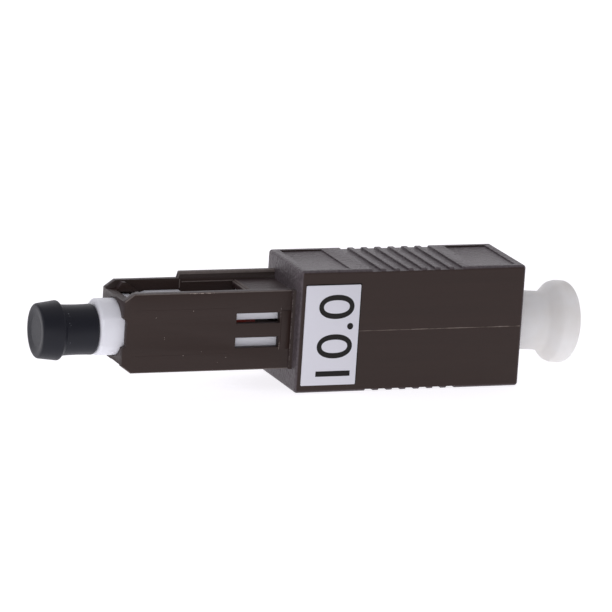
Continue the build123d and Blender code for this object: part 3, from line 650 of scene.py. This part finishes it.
TIGHT, NEAR, LOOSE = 0.02 * MM, 0.05 * MM, 0.1 * MM
SLEEVE_SIDE = 3.7 * MM
SLEEVE_END = -0.3 * MM
HIGHLIGHT_END = -0.6 * MM
CROWN_DROP = 0.6 * MM
RAIL_INSIDE = 3.0 * MM
RAIL_FOOT = 5.0 * MM
RAIL_STEPS = 4
WALL_TOP = 4.5 * MM
BAND_TOP = 3.6 * MM
BAND_LENGTH = 1.1 * MM
BAND_SPAN = 2.2 * MM
BAND_STEPS = 3
BROWN_SLOT, FLASH_SLOT, HIGHLIGHT_SLOT, TRIM_SLOT = range(4)
LEDGE_SIDE = 2.875 * MM
LEDGE_RISE = 4.1 * MM
LEDGE_ENDS = (-11.1 * MM, -5.0 * MM)
LEDGE_HEIGHT = 0.05 * MM
SEAM_REACH = -11.33 * MM
SEAM_RISES = (3.4 * MM, 4.4 * MM)
FLASH_STEPS = 48
FLASH_SHARES = tuple(i / FLASH_STEPS for i in range(FLASH_STEPS + 1))
FLASH_WAVES = (19.0, 47.0)
FLASH_PHASE = 0.6
FLASH_SWING = 0.3
FLASH_START = 0.2
BURR_WAVES = (31.0, 53.0)
FLASH_ENDS = (0.4 * MM, -0.3 * MM)
WITNESS_RISE = 2.58 * MM
WITNESS_ENDS = (-18.6 * MM, -6.4 * MM)
WITNESS_HEIGHT = 0.014 * MM
FLECK_RISE = 4.0 * MM
# Finish of each burr and its two ends, in millimetres along X from the shoulder, out from the
# sleeve's side and up from the axis: on the sleeve's upper edge, on the collar at its root and at
# the ends of two slots. Burrs in the lighter brown slot are lines of painted highlight.
BURRS = (
    (TRIM_SLOT, (-12.5, 0, 4.4), (-9.6, 0, 4.4)),
    (HIGHLIGHT_SLOT, (-0.37, 0.25, -4.2), (-0.37, 0.25, 0.4)),
    (HIGHLIGHT_SLOT, (-0.37, 0.25, -0.9), (-0.37, 0.25, 4.2)),
    (HIGHLIGHT_SLOT, (-1.59, 0, 1.2), (-1.59, 0, 2.7)),
    (TRIM_SLOT, (-1.59, 0, -2.3), (-1.59, 0, -1.4)),
)
BURR_WIDTH = 0.1 * MM
DECK_FRONT = -4.9 * MM
DECK_MARGIN = 0.15 * MM
ROOT_PAD_REACH = (-1.5 * MM, -0.43 * MM)
ROOT_PAD_RISE = 2.2 * MM
ROOT_PAD_PROUD = 0.07 * MM


class ATTENUATOR_OT_outer_housing(bpy.types.Operator):
    """Round the moulded edges of the housing and give it its mould lines and finish"""

    bl_idname = "attenuator.outer_housing"
    bl_label = "Outer housing"

    def execute(self, context):
        sizes = context.scene.attenuator.housing
        bm = welded("outer_housing")
        self.round_moulding(bm, sizes)
        self.add_parting_line(bm, sizes)
        for slot, *ends in BURRS:
            self.add_burr(bm, sizes, ends, slot)
        for side in (-1, 1):
            self.add_mould_lines(bm, sizes, side)
        brown = moulded_pbt("Moulded_brown_PBT", sizes.brown, sizes.eroded_and_sheen, sizes.grain)
        flash = flash_and_highlight("Whitened_PBT_flash", sizes.brown, sizes.whitened)
        trim = grained_material("Whitened_PBT_trim", sizes.whitened)
        # Lighter brown of the painted highlight
        painted_highlight = grained_material("Rubbed_brown_PBT", sizes.painted_highlight)
        finishes = [brown, flash, painted_highlight, trim]
        add_smooth("housing_moulding", bm, finishes, "housing", "brown_plastic", "outer_housing")
        front, back = WITNESS_ENDS
        patch = bmesh.new()
        corners = ((front, -FLECK_RISE), (back, -FLECK_RISE), (back, FLECK_RISE), (front, FLECK_RISE))
        patch.faces.new([patch.verts.new(from_shoulder(x, -SLEEVE_SIDE, z)) for x, z in corners])
        values = {"Density": sizes.flecks / MM**2, "Size": sizes.fleck, "Seed": sizes.seed}
        flecks = scatter_flecks("sleeve_flecks", patch, values, trim)
        add_piece("sleeve_flecks", flecks, [], "housing", "brown_plastic")
        return {"FINISHED"}

    def round_moulding(self, bm, sizes):
        """Rounds the edges of rails, front band, sleeve and ribs, and then all that are left."""
        crown = HOUSING_HIGH.z - AXIS_Z - CROWN_DROP

        def is_sleeve(a, b):
            middle = (a + b) / 2
            return middle.x < SHOULDER_X + SLEEVE_END and abs(middle.y) > SLEEVE_SIDE - LOOSE

        def is_rib(a, b):
            middle = (a + b) / 2
            return middle.x > SHOULDER_X and abs(middle.z - AXIS_Z) > crown

        def is_rail(a, b):
            return all(
                abs(v.y - RAIL_INSIDE) < NEAR
                and abs(v.z - AXIS_Z) > RAIL_FOOT
                and v.x < SHOULDER_X + NEAR
                for v in (a, b)
            )

        def is_band(a, b):
            return all(
                abs(abs(v.z - AXIS_Z) - BAND_TOP) < TIGHT
                and abs(v.x - HOUSING_LOW.x - BAND_LENGTH) < TIGHT
                and abs(v.y) < BAND_SPAN
                for v in (a, b)
            )

        def is_highlighted(a, b):
            middle = (a + b) / 2
            rise = abs(middle.z - AXIS_Z)
            on_rail = abs(middle.y) > RAIL_INSIDE - NEAR and rise > WALL_TOP + LOOSE
            on_side = abs(middle.y) > SLEEVE_SIDE - LOOSE and rise > BAND_TOP + NEAR
            by_deck = abs(middle.x - SHOULDER_X - DECK_FRONT) < DECK_MARGIN
            at_deck = by_deck and rise > LEDGE_RISE - DECK_MARGIN
            low_end = min(abs(v.z - AXIS_Z) for v in (a, b))
            edge = on_rail or on_side or at_deck
            return middle.x < SHOULDER_X + HIGHLIGHT_END and low_end > BAND_TOP and edge

        # The rails' edges, the sleeve's upper side edges and the deck's front edges take the lighter
        # brown: painted highlight.
        round_edges(bm, sharp_edges(bm, is_rail), sizes.rail_round, RAIL_STEPS, HIGHLIGHT_SLOT)
        round_edges(bm, sharp_edges(bm, is_band), sizes.band_round, BAND_STEPS)
        round_edges(bm, sharp_edges(bm, is_highlighted), sizes.edge_round, slot=HIGHLIGHT_SLOT)
        round_edges(bm, sharp_edges(bm, is_sleeve), sizes.edge_round)
        round_edges(bm, sharp_edges(bm, is_rib), sizes.rib_round)
        round_edges(bm, sharp_edges(bm, any_edge), sizes.fine_round)

    def add_parting_line(self, bm, sizes):
        """Flash of the mould's parting line, uneven and higher towards the socket end."""
        slow, fast = FLASH_WAVES
        rises = []
        for share in FLASH_SHARES:
            swing = math.sin(slow * share) * math.cos(fast * share + FLASH_PHASE)
            growth = FLASH_START + (1 - FLASH_START) * share
            rises.append(sizes.flash_height * growth * (1 - FLASH_SWING + FLASH_SWING * swing))
        front = Vector((SHOULDER_X + FLASH_ENDS[0], HOUSING_LOW.y, AXIS_Z))
        back = Vector((HOUSING_HIGH.x + FLASH_ENDS[1], HOUSING_LOW.y, AXIS_Z))
        add_bead(bm, front, back, -1, sizes.flash_width, rises, FLASH_SLOT)

    def add_burr(self, bm, sizes, ends, slot):
        """Torn burr between two places on the sleeve, on the labelled side."""
        slow, fast = BURR_WAVES
        rises = []
        for share in FLASH_SHARES:
            wave = math.sin(math.pi * share) * math.sin(slow * share) * math.cos(fast * share)
            rises.append(sizes.burr_height * wave)
        front, back = (
            from_shoulder(along * MM, -SLEEVE_SIDE - out * MM, up * MM) for along, out, up in ends
        )
        add_bead(bm, front, back, -1, BURR_WIDTH, rises, slot)

    def add_mould_lines(self, bm, sizes, side):
        """Ledges, seams and witness lines of the sleeve and the pad at its root."""
        inside, outside = -side * LEDGE_SIDE, side * SLEEVE_SIDE
        low, high = SEAM_RISES
        lines = []
        # Ledges and seams take the lighter brown: painted highlight lines.
        for up in (-LEDGE_RISE, LEDGE_RISE):
            ends = [(along, inside, up) for along in LEDGE_ENDS]
            lines.append((ends, LEDGE_HEIGHT, HIGHLIGHT_SLOT))
        for rises in ((-high, -low), (low, high)):
            ends = [(SEAM_REACH, inside, up) for up in rises]
            lines.append((ends, LEDGE_HEIGHT, HIGHLIGHT_SLOT))
        for up in (-WITNESS_RISE, WITNESS_RISE):
            ends = [(along, outside, up) for along in WITNESS_ENDS]
            lines.append((ends, WITNESS_HEIGHT, BROWN_SLOT))
        for ends, height, slot in lines:
            start, end = (from_shoulder(*place) for place in ends)
            add_bead(bm, start, end, side, sizes.flash_width, [height] * 2, slot)
        inner, outer = sorted((side * (SLEEVE_SIDE - LOOSE), side * (SLEEVE_SIDE + ROOT_PAD_PROUD)))
        add_block(
            bm,
            from_shoulder(ROOT_PAD_REACH[0], inner, -ROOT_PAD_RISE),
            from_shoulder(ROOT_PAD_REACH[1], outer, ROOT_PAD_RISE),
            sizes.fine_round,
        )


# Lands above and below on the inner plug, just behind its nose
LAND_REACH = (-18.7 * MM, -17.4 * MM)
LAND_SPAN = 2.65 * MM
LAND_RISES = (2.5 * MM, 3.05 * MM)


class ATTENUATOR_OT_inner_plug(bpy.types.Operator):
    """Finish the inner plug and its lands, the spring stop and the socket fittings"""

    bl_idname = "attenuator.inner_plug"
    bl_label = "Inner plug and socket fittings"

    def execute(self, context):
        sizes = context.scene.attenuator.inner
        white = grained_material("Moulded_white_PBT", sizes.white)
        red = grained_material("Moulded_dark_red_PBT", sizes.dark_red)
        bm = welded("plug_frame")
        round_edges(bm, sharp_edges(bm, any_edge), sizes.white_round)
        for up in (-1, 1):
            low, high = sorted(up * rise for rise in LAND_RISES)
            add_block(
                bm,
                from_shoulder(LAND_REACH[0], -LAND_SPAN, low),
                from_shoulder(LAND_REACH[1], LAND_SPAN, high),
                sizes.white_round,
            )
        add_smooth("inner_plug", bm, [white], "plug", "white_plastic", "plug_frame")
        for node in ("sleeve_retainer", "latch_holder"):
            bm = welded(node)
            round_edges(bm, sharp_edges(bm, any_edge), sizes.white_round)
            add_smooth(node + "_moulding", bm, [white], "housing", "white_plastic", node)
        paint_node("spring_stop", red)
        return {"FINISHED"}


RING_SPACING = 0.12 * MM
WIRE_MARKS = 0.3 * MM


class ATTENUATOR_OT_ferrule_train(bpy.types.Operator):
    """Finish the ferrules, the fibre, the barrel and the split sleeve, and wind the spring"""

    bl_idname = "attenuator.ferrule_train"
    bl_label = "Ferrule train"

    def execute(self, context):
        sizes = context.scene.attenuator.inner
        zirconia = grained_material("Polished_zirconia", sizes.ceramic)
        glass = grained_material("Drawn_silica", sizes.silica)
        for node in ("front_ferrule", "rear_ferrule", "split_sleeve"):
            paint_node(node, zirconia)
        paint_node("attenuating_fibre", glass)
        # Dark plating on the barrel: painted shade seen through the slots
        shaded_nickel = turned_metal("Turned_black_nickel", sizes.nickel, RING_SPACING)
        paint_node("ferrule_barrel", shaded_nickel)
        steel = turned_metal("Drawn_spring_steel", sizes.steel, WIRE_MARKS)
        wire = sizes.wire
        coil = wind_coil(
            {
                "Turns": sizes.coil_turns,
                "Coil Radius": (SPRING_HIGH.z - SPRING_LOW.z - wire) / 2,
                "Wire Radius": wire / 2,
                "Length": SPRING_HIGH.x - SPRING_LOW.x - wire,
            },
            Vector((SPRING_LOW.x + wire / 2, 0, AXIS_Z)),
            steel,
        )
        piece = add_piece("spring_coil", coil, [], "plug", "spring_steel", "ferrule_spring")
        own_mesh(piece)
        return {"FINISHED"}


def run_tree(tree, values, name, base=None):
    """Plain mesh that a geometry node tree makes from a base mesh with the given input values."""
    carrier = add_object(name, base or bpy.data.meshes.new(name))
    modifier = carrier.modifiers.new(name, "NODES")
    modifier.node_group = tree
    for item in tree.interface.items_tree:
        if item.in_out == "INPUT" and item.name in values:
            modifier[item.identifier] = values[item.name]
    carrier.update_tag()
    mesh = shown_mesh(carrier)
    mesh.name = name
    return mesh


def start_tree(name, sockets):
    """Empty geometry node tree with named inputs and one geometry output."""
    tree = bpy.data.node_groups.new(name, "GeometryNodeTree")
    for label, kind in sockets.items():
        tree.interface.new_socket(label, in_out="INPUT", socket_type="NodeSocket" + kind)
    tree.interface.new_socket("Geometry", in_out="OUTPUT", socket_type="NodeSocketGeometry")
    return tree, add_node(tree, "NodeGroupInput").outputs


def end_tree(tree, geometry, material):
    """Ends a tree with its instances made real and painted."""
    whole = add_node(tree, "GeometryNodeRealizeInstances", links={"Geometry": geometry})
    painted = add_node(
        tree,
        "GeometryNodeSetMaterial",
        links={"Geometry": whole.outputs[0], "Material": material},
    )
    add_node(tree, "NodeGroupOutput", links={"Geometry": painted.outputs[0]})


TURN_STEPS = 36
WIRE_STEPS = 12


def wind_coil(values, start, material):
    """Coil of round wire along X from a start point."""
    sockets = {
        "Turns": "Float",
        "Coil Radius": "Float",
        "Wire Radius": "Float",
        "Length": "Float",
        "Start": "Vector",
        "Material": "Material",
    }
    tree, given = start_tree("Spring coil", sockets)
    path = add_node(
        tree,
        "GeometryNodeCurveSpiral",
        inputs={"Resolution": TURN_STEPS},
        links={
            "Rotations": given["Turns"],
            "Start Radius": given["Coil Radius"],
            "End Radius": given["Coil Radius"],
            "Height": given["Length"],
        },
    )
    section = add_node(
        tree,
        "GeometryNodeCurvePrimitiveCircle",
        inputs={"Resolution": WIRE_STEPS},
        links={"Radius": given["Wire Radius"]},
    )
    wire = add_node(
        tree,
        "GeometryNodeCurveToMesh",
        inputs={"Fill Caps": True},
        links={"Curve": path.outputs[0], "Profile Curve": section.outputs[0]},
    )
    placed = add_node(
        tree,
        "GeometryNodeTransform",
        inputs={"Rotation": (0.0, math.pi / 2, 0.0)},
        links={"Geometry": wire.outputs[0], "Translation": given["Start"]},
    )
    smooth = add_node(tree, "GeometryNodeSetShadeSmooth", links={"Geometry": placed.outputs[0]})
    end_tree(tree, smooth.outputs[0], given["Material"])
    return run_tree(tree, {**values, "Start": start, "Material": material}, "spring_coil")


# Shares of the given size along, out of and up the surface
SMALLEST_FLECK = (0.35, 0.2, 0.25)
LARGEST_FLECK = (1.3, 0.4, 0.7)


def scatter_flecks(name, patch, values, material):
    """Small flat specks, strewn over a patch of surface."""
    sockets = {
        "Patch": "Geometry",
        "Density": "Float",
        "Size": "Float",
        "Seed": "Int",
        "Material": "Material",
    }
    tree, given = start_tree("Scattered flecks", sockets)
    spots = add_node(
        tree,
        "GeometryNodeDistributePointsOnFaces",
        links={"Mesh": given["Patch"], "Density": given["Density"], "Seed": given["Seed"]},
    )
    grain = add_node(
        tree, "GeometryNodeMeshIcoSphere", inputs={"Subdivisions": 1}, links={"Radius": given["Size"]}
    )
    sizes = add_node(
        tree,
        "FunctionNodeRandomValue",
        {"data_type": "FLOAT_VECTOR"},
        {0: SMALLEST_FLECK, 1: LARGEST_FLECK},
        {"Seed": given["Seed"]},
    )
    strewn = add_node(
        tree,
        "GeometryNodeInstanceOnPoints",
        links={
            "Points": spots.outputs["Points"],
            "Instance": grain.outputs["Mesh"],
            "Scale": sizes.outputs[0],
        },
    )
    end_tree(tree, strewn.outputs[0], given["Material"])
    base = plain_mesh(patch, name + "_patch")
    mesh = run_tree(tree, {**values, "Material": material}, name, base)
    if not mesh.polygons:
        raise RuntimeError(f"{name} holds no specks")
    return mesh


CORNER_SHARE = 0.8
CORNER_STEPS = 6
LATHE_STEPS = 96
ON_AXIS = 1e-6


def corner_arc(before, corner, after, radius, steps):
    """Points of a round corner of an outline."""
    corner = Vector(corner)
    back, on = (Vector(before) - corner), (Vector(after) - corner)
    half = back.angle(on) / 2
    reach = min(radius / math.tan(half), CORNER_SHARE * back.length, CORNER_SHARE * on.length)
    radius = reach * math.tan(half)
    middle = (back.normalized() + on.normalized()).normalized()
    centre = corner + middle * (radius / math.sin(half))
    first = corner + back.normalized() * reach - centre
    last = corner + on.normalized() * reach - centre
    sweep = first.angle_signed(last)
    turns = [Matrix.Rotation(-sweep * i / steps, 2) for i in range(steps + 1)]
    return [centre + turn @ first for turn in turns]


def rounded_outline(points):
    """Outline from (along, radius, corner radius) points, in millimetres."""
    plain = [Vector((p[0], p[1])) for p in points]
    result = []
    for i, point in enumerate(points):
        bend = point[2]
        if bend and 0 < i < len(points) - 1:
            result += corner_arc(plain[i - 1], plain[i], plain[i + 1], bend, CORNER_STEPS)
        else:
            result.append(plain[i])
    return result


def lathe(outline, origin, direction, steps):
    """Closed bmesh turned from a half section, which starts and ends on the axis."""
    bm = bmesh.new()
    along = Vector(direction).normalized()
    across = along.orthogonal().normalized()
    rings = []
    for place, radius in outline:
        centre = origin + along * (place * MM)
        if radius < ON_AXIS:
            rings.append([bm.verts.new(centre)])
            continue
        turns = [Matrix.Rotation(2 * math.pi * i / steps, 3, along) for i in range(steps)]
        rings.append([bm.verts.new(centre + turn @ across * (radius * MM)) for turn in turns])
    for a, b in zip(rings, rings[1:]):
        for i in range(steps):
            j = (i + 1) % steps
            corners = [a[i % len(a)], a[j % len(a)], b[j % len(b)], b[i % len(b)]]
            face = []
            for vert in corners:
                if vert not in face:
                    face.append(vert)
            if len(face) > 2:
                bm.faces.new(face)
    bmesh.ops.recalc_face_normals(bm, faces=bm.faces)
    return bm


# Half section of the ferrule cap: millimetres from its front end, radius, corner round.
CAP_SECTION = (
    (0.15, 0, 0),
    (0.15, 1.75, 0.5),
    (0.0, 2.5, 0.4),
    (0.0, 3.025, 0.32),
    (2.4, 3.34, 0.3),
    (2.85, 2.84, 0.12),
    (3.6, 2.8, 0),
    (4.725, 2.78, 0),
    (5.8, 2.8, 0),
    (6.6, 2.84, 0.3),
    (6.6, 1.56, 0.1),
    (1.45, 1.56, 0.1),
    (1.45, 0, 0),
)
# Radius of the cap where dust lies on it and the band that it covers, in millimetres
CAP_WAIST = 2.81
DUST_BAND = (2.95, 3.3)
DUST_ANGLES = tuple(math.radians(angle) for angle in range(-24, 61, 4))
# Half section of the dust plug: millimetres from its pivot, radius, corner round.
PORT_PLUG_SECTION = (
    (14.8, 0, 0),
    (14.8, 2.75, 0.4),
    (0.5, 2.75, 0.05),
    (0.5, 3.2, 0.12),
    (8.2, 3.2, 0.05),
    (8.2, 3.35, 0.05),
    (12.4, 3.35, 0.9),
    (13.6, 4.55, 0.7),
    (14.2, 4.7, 0.5),
    (15.9, 4.7, 1.0),
    (15.9, 0, 0),
)
PIVOT_DEPTH = 8.0 * MM
PORT_PLUG_PIVOT = Vector((HOUSING_HIGH.x - PIVOT_DEPTH, 0, AXIS_Z))


class ATTENUATOR_OT_ferrule_cap(bpy.types.Operator):
    """Turn the soft cap on the front ferrule"""

    bl_idname = "attenuator.ferrule_cap"
    bl_label = "Ferrule cap"

    def execute(self, context):
        colours = context.scene.attenuator.covers
        rubber = grained_material("Moulded_black_rubber", colours.rubber)
        front = Vector((CAP_LOW.x, 0, (CAP_LOW.z + CAP_HIGH.z) / 2))
        bm = lathe(rounded_outline(CAP_SECTION), front, (1, 0, 0), LATHE_STEPS)
        add_smooth("soft_cap", bm, [rubber], "cap", "black_rubber", "ferrule_cap")

        grey = grained_material("Settled_dust", colours.dust)
        patch = bmesh.new()
        rows = []
        for place in DUST_BAND:
            rows.append([])
            for angle in DUST_ANGLES:
                out = CAP_WAIST * MM
                spot = Vector((place * MM, -out * math.cos(angle), out * math.sin(angle)))
                rows[-1].append(patch.verts.new(front + spot))
        for i in range(len(DUST_ANGLES) - 1):
            patch.faces.new((rows[0][i], rows[1][i], rows[1][i + 1], rows[0][i + 1]))
        values = {
            "Density": colours.dust_density / MM**2,
            "Size": colours.dust_size,
            "Seed": colours.dust_seed,
        }
        specks = scatter_flecks("cap_dust", patch, values, grey)
        add_piece("cap_dust", specks, [], "cap", "black_rubber")
        return {"FINISHED"}


class ATTENUATOR_OT_port_plug(bpy.types.Operator):
    """Turn the translucent dust plug on its own sagging axis"""

    bl_idname = "attenuator.port_plug"
    bl_label = "Port plug"

    def execute(self, context):
        colours = context.scene.attenuator.covers
        pull = next(j for j in frame["joints"] if j["name"] == "port_plug_pull")
        milk = soft_polyethylene("Soft_polyethylene", colours.milk, colours.shaded)
        bm = lathe(rounded_outline(PORT_PLUG_SECTION), PORT_PLUG_PIVOT, pull["axis"], LATHE_STEPS)
        add_smooth(
            "dust_plug_moulding", bm, [milk], "dust_plug", "translucent_plastic", "port_plug"
        )
        return {"FINISHED"}


ADHESIVE_SHADOW_SLOT = 1
GLUE_SINK = 0.02 * MM
SHEET_CORNER = 0.12 * MM
SHEET_STEPS = 3
SHEET_RIM = 0.03 * MM
PRINT_THICKNESS = 0.01 * MM
PRINT_SINK = 0.002 * MM
PRINT_STEPS = 16
PRINT_WELD = 1e-6


class ATTENUATOR_OT_rating_label(bpy.types.Operator):
    """Lay the label on the near face and print its rating"""

    bl_idname = "attenuator.rating_label"
    bl_label = "Rating label"

    def execute(self, context):
        sizes = context.scene.attenuator.label
        paper = grained_material("Coated_label_paper", sizes.paper)
        adhesive_shadow = grained_material("Label_adhesive", sizes.adhesive_shadow)
        ink = grained_material("Thermal_printing_ink", sizes.ink)
        sheet_low = LABEL_LOW + Vector((0, PRINT_THICKNESS, 0))
        span = LABEL_HIGH - sheet_low
        middle = (LABEL_HIGH + sheet_low) / 2
        bm = bmesh.new()
        add_box(bm, sheet_low, LABEL_HIGH)
        corners = [e for e in bm.edges if abs(e.verts[0].co.y - e.verts[1].co.y) > span.y / 2]
        round_edges(bm, corners, SHEET_CORNER, SHEET_STEPS)
        rim = [e for e in bm.edges if max(v.co.y for v in e.verts) < middle.y]
        round_edges(bm, rim, SHEET_RIM)
        # Dark sheet that shows past the paper's top and socket-end edges: painted shadow
        shadow_sheet_low = Vector((LABEL_LOW.x, HOUSING_LOW.y - sizes.glue_thickness, LABEL_LOW.z))
        shadow_sheet_high = Vector((LABEL_HIGH.x, HOUSING_LOW.y, LABEL_HIGH.z))
        shadow_sheet_high += Vector((sizes.shadow_reach, GLUE_SINK, sizes.shadow_reach))
        for vert in add_box(bm, shadow_sheet_low, shadow_sheet_high):
            for face in vert.link_faces:
                face.material_index = ADHESIVE_SHADOW_SLOT
        add_smooth("label_sheet", bm, [paper, adhesive_shadow], "housing", "label_film", "rating_label")

        curve = bpy.data.curves.new("rating_text", "FONT")
        curve.body = sizes.rating
        curve.resolution_u = PRINT_STEPS
        bm = bmesh.new()
        bm.from_mesh(shown_mesh(add_object("rating_text", curve)))
        bmesh.ops.remove_doubles(bm, verts=bm.verts, dist=PRINT_WELD)
        runs = [v.co.x for v in bm.verts]
        heights = [v.co.y for v in bm.verts]
        low_x, low_y = min(runs), min(heights)
        scale_run = sizes.rating_run / (max(runs) - low_x)
        scale_up = sizes.rating_height / (max(heights) - low_y)
        lifted = bmesh.ops.extrude_face_region(bm, geom=bm.faces[:])
        for item in lifted["geom"]:
            if isinstance(item, bmesh.types.BMVert):
                item.co.z = PRINT_THICKNESS + PRINT_SINK
        base_x = LABEL_HIGH.x - sizes.rating_edge
        start_z = LABEL_LOW.z + sizes.rating_foot
        for vert in bm.verts:
            run = (vert.co.x - low_x) * scale_run
            up = (vert.co.y - low_y) * scale_up
            vert.co = (base_x - up, sheet_low.y + PRINT_SINK - vert.co.z, start_z + run)
        bmesh.ops.recalc_face_normals(bm, faces=bm.faces)
        add_piece("rating_print", plain_mesh(bm, "rating_print"), [ink], "housing", "label_film")
        return {"FINISHED"}


PHOTO_PIXELS = 612
FOCAL_PIXELS = 5500.0
SENSOR = 36.0
YAW, PITCH, ROLL = (math.radians(angle) for angle in (21.937, 13.819, 3.763))
TARGET = Vector((SHOULDER_X + 2.824 * MM, 0.0, 8.637 * MM))
DISTANCE = 614.53 * MM
FLOOR_HALF = 3.0
CLIP_START = 0.01
# Soft boxes: name, its setting, place and width in metres
SOFT_BOXES = (
    ("top_box", "top_power", (0.05, 0.1, 0.75), 0.8),
    ("back_box", "back_power", (0.1, 0.9, 0.45), 0.9),
    ("left_box", "left_power", (-0.8, 0.0, 0.35), 0.5),
    ("right_box", "right_power", (0.8, -0.2, 0.3), 0.5),
    ("front_box", "front_power", (-0.25, -0.9, 0.14), 0.3),
)


class ATTENUATOR_OT_stage(bpy.types.Operator):
    """Set the floor, the soft boxes and the camera"""

    bl_idname = "attenuator.stage"
    bl_label = "Stage"

    def execute(self, context):
        look = context.scene.attenuator.stage
        scene = context.scene
        # Frosted acrylic that is lit from below, so that it reads as plain white
        floor_material = start_material(
            "Lit_acrylic_floor",
            Base_Color=tuple(look.floor),
            Roughness=0.9,
            Specular_IOR_Level=0.1,
            Emission_Color=tuple(look.light),
            Emission_Strength=look.glow,
        )[0]
        bm = bmesh.new()
        bmesh.ops.create_grid(bm, x_segments=1, y_segments=1, size=FLOOR_HALF)
        mesh = plain_mesh(bm, "studio_floor")
        mesh.materials.append(floor_material)
        floor = add_object("studio_floor", mesh)

        for name, power, spot, size in SOFT_BOXES:
            light = bpy.data.lights.new(name, "AREA")
            light.energy = getattr(look, power)
            light.color = look.light[:3]
            light.shape = "SQUARE"
            light.size = size
            lamp = add_object(name, light)
            lamp.location = spot
            lamp.rotation_euler = (TARGET - Vector(spot)).to_track_quat("-Z", "Y").to_euler()
            lamp.visible_camera = False

        world = bpy.data.worlds.new("Studio")
        world.use_nodes = True
        background = world.node_tree.nodes["Background"]
        background.inputs["Color"].default_value = look.light
        background.inputs["Strength"].default_value = look.tent
        scene.world = world
        scene.view_settings.view_transform = "Standard"
        scene.view_settings.look = "None"

        flat = math.cos(PITCH)
        forward = Vector((math.sin(YAW) * flat, math.cos(YAW) * flat, -math.sin(PITCH)))
        level = Vector((math.cos(YAW), -math.sin(YAW), 0.0))
        upright = level.cross(forward)
        right = math.cos(ROLL) * level + math.sin(ROLL) * upright
        up = math.cos(ROLL) * upright - math.sin(ROLL) * level
        data = bpy.data.cameras.new("photo_camera")
        data.sensor_fit = "HORIZONTAL"
        data.sensor_width = SENSOR
        data.lens = SENSOR * FOCAL_PIXELS / PHOTO_PIXELS
        data.clip_start = CLIP_START
        camera = add_object("photo_camera", data)
        turn = Matrix((right, up, -forward)).transposed().to_4x4()
        camera.matrix_world = Matrix.Translation(TARGET - forward * DISTANCE) @ turn
        scene.camera = camera
        return {"FINISHED"}


PIECE_OPERATORS = (
    ATTENUATOR_OT_outer_housing,
    ATTENUATOR_OT_inner_plug,
    ATTENUATOR_OT_ferrule_train,
    ATTENUATOR_OT_ferrule_cap,
    ATTENUATOR_OT_port_plug,
    ATTENUATOR_OT_rating_label,
    ATTENUATOR_OT_stage,
)


class ATTENUATOR_PT_sidebar(bpy.types.Panel):
    """Sidebar panel that lists the pieces"""

    bl_idname = "ATTENUATOR_PT_sidebar"
    bl_label = "Fibre attenuator"
    bl_space_type = "VIEW_3D"
    bl_region_type = "UI"
    bl_category = "Attenuator"

    def draw(self, context):
        for operator in PIECE_OPERATORS:
            self.layout.operator(operator.bl_idname)


CLASSES = (
    HousingSettings,
    InnerSettings,
    CoverSettings,
    LabelSettings,
    StageSettings,
    AttenuatorSettings,
    *PIECE_OPERATORS,
    ATTENUATOR_PT_sidebar,
)


def register():
    for cls in CLASSES:
        bpy.utils.register_class(cls)
    bpy.types.Scene.attenuator = PointerProperty(type=AttenuatorSettings)


def unregister():
    del bpy.types.Scene.attenuator
    for cls in reversed(CLASSES):
        bpy.utils.unregister_class(cls)


def main():
    register()
    bpy.ops.attenuator.outer_housing()
    bpy.ops.attenuator.inner_plug()
    bpy.ops.attenuator.ferrule_train()
    bpy.ops.attenuator.ferrule_cap()
    bpy.ops.attenuator.port_plug()
    bpy.ops.attenuator.rating_label()
    bpy.ops.attenuator.stage()


if __name__ == "__main__":
    main()
